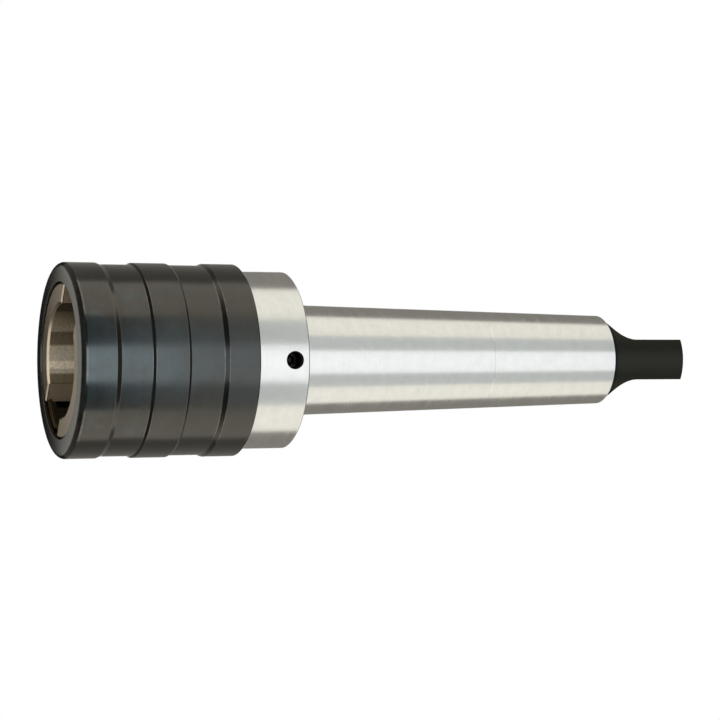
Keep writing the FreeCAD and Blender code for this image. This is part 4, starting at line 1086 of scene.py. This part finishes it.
# %% filling holes and set screws
HOLE_STATION, HOLE_COUNT = 59.85, 3
HOLE_R, HOLE_CREST_R, HOLE_THREAD_TOP = 2.5, 2.12, 24.6
THREAD_PITCH, THREAD_HALF = 0.8, 0.42
THREAD_STEPS, THREAD_TAPER = 30, 0.2
SCREW_FOOT, SCREW_TOP = 14.2, 20.2
SCREW_CORE_R, SCREW_CREST_R = 2.15, 2.47
KEY_ACROSS, KEY_DEPTH, KEY_CONE = 2.5, 2.5, 0.5
SCREW_COLUMNS = 36
OUT_OF_THE_COLLAR = Matrix.Rotation(math.radians(90), 4, "Z") @ Matrix.Rotation(math.radians(180), 4, "Y")
SCREW_PROFILE = (
    (SCREW_FOOT, 0.9),
    (SCREW_FOOT + 0.1, 1.3),
    (SCREW_FOOT + 0.9, SCREW_CORE_R),
    (SCREW_TOP - 0.25, SCREW_CORE_R + 0.1),
    (SCREW_TOP, SCREW_CORE_R - 0.12),
)
SOCKET_PROFILE = (
    (SCREW_TOP, KEY_ACROSS + 0.16),
    (SCREW_TOP - 0.12, KEY_ACROSS),
    (SCREW_TOP - KEY_DEPTH, KEY_ACROSS),
)


def thread(name, foot, top, root_r, crest_r):
    """A wound ridge between two heights, with its crest at one radius and its back sunk in the other."""
    half = THREAD_HALF * THREAD_PITCH
    ridge = outline_mesh(name, [(-half, root_r), (0.0, crest_r), (half, root_r)])
    piece = follow(WOUND, name, ridge, "fastener_steel", Turns=(top - foot) / THREAD_PITCH,
                   Closed_Turns=0.0, Closed_Pitch=0.0, Length=(top - foot) * MM, Radius=0.0,
                   Steps_per_Turn=THREAD_STEPS, Taper_Turns=THREAD_TAPER)
    piece.data.transform(Matrix.Translation((foot * MM, 0, 0)))
    return piece


def hexagon_r(turn, across):
    """Radius of a hexagon's edge at an angle."""
    return across / 2 / math.cos((turn + math.pi / 6) % (math.pi / 3) - math.pi / 6)


def screw_core():
    """The set screw without its thread: cone point below, hexagon socket above, all in rings of points."""
    turns = [math.tau * number / SCREW_COLUMNS for number in range(SCREW_COLUMNS)]
    rings = [[(x, radius, turn) for turn in turns] for x, radius in SCREW_PROFILE]
    rings += [[(x, hexagon_r(turn, across), turn) for turn in turns] for x, across in SOCKET_PROFILE]
    points = [(x * MM, r * MM * math.cos(turn), r * MM * math.sin(turn))
              for ring in rings for x, r, turn in ring]
    faces = []
    for row in range(len(rings) - 1):
        for column in range(SCREW_COLUMNS):
            side = (column + 1) % SCREW_COLUMNS
            low, high = row * SCREW_COLUMNS, (row + 1) * SCREW_COLUMNS
            faces.append((low + column, low + side, high + side, high + column))
    last = len(points)
    points += [(SCREW_FOOT * MM, 0, 0), ((SCREW_TOP - KEY_DEPTH - KEY_CONE) * MM, 0, 0)]
    for column in range(SCREW_COLUMNS):
        side = (column + 1) % SCREW_COLUMNS
        start = (len(rings) - 1) * SCREW_COLUMNS
        faces.append((side, column, last))
        faces.append((start + column, start + side, last + 1))
    return plain_mesh("screw_core", points, faces)


def joined(name, parts):
    """Several meshes as one, and the parts gone."""
    points, faces, smooth = [], [], []
    for part in parts:
        first = len(points)
        points += [vertex.co.copy() for vertex in part.data.vertices]
        faces += [tuple(first + number for number in face.vertices) for face in part.data.polygons]
        smooth += [face.use_smooth for face in part.data.polygons]
        bpy.data.objects.remove(part)
    mesh = bpy.data.meshes.new(name)
    mesh.from_pydata(points, [], faces)
    mesh.polygons.foreach_set("use_smooth", smooth)
    return mesh


def in_every_hole(name, parts):
    """Parts that lie along X, made one and set in each filling hole."""
    mesh = joined(name + "_once", parts)
    mesh.transform(Matrix.Translation((at(HOLE_STATION), 0, 0)) @ OUT_OF_THE_COLLAR)
    return follow(COPIES, name, mesh, "fastener_steel", Count=HOLE_COUNT)


screw_thread = thread("screw_thread", SCREW_FOOT + 0.7, SCREW_TOP - 0.2, SCREW_CORE_R - 0.05, SCREW_CREST_R)
screws = in_every_hole("set_screws", [screw_core(), screw_thread])
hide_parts("filling_screws")
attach(screws, "shank")
report(screws)

hole_thread = thread("hole_thread", SCREW_TOP + 0.15, HOLE_THREAD_TOP, HOLE_R + 0.02, HOLE_CREST_R)
threads = in_every_hole("hole_threads", [hole_thread])
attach(threads, "shank")
report(threads)

# %% [markdown]
# The bounds of the visual pieces are set beside those of the CAD part, and their largest difference is
# printed.

# %% the end
boxes = {"cad": cad_box, "visual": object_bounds()}
differences = [abs(a - b) for cad, visual in zip(*boxes.values()) for a, b in zip(cad, visual)]
print(f"the two boxes differ by {max(differences) / MM:.3f} mm at most")
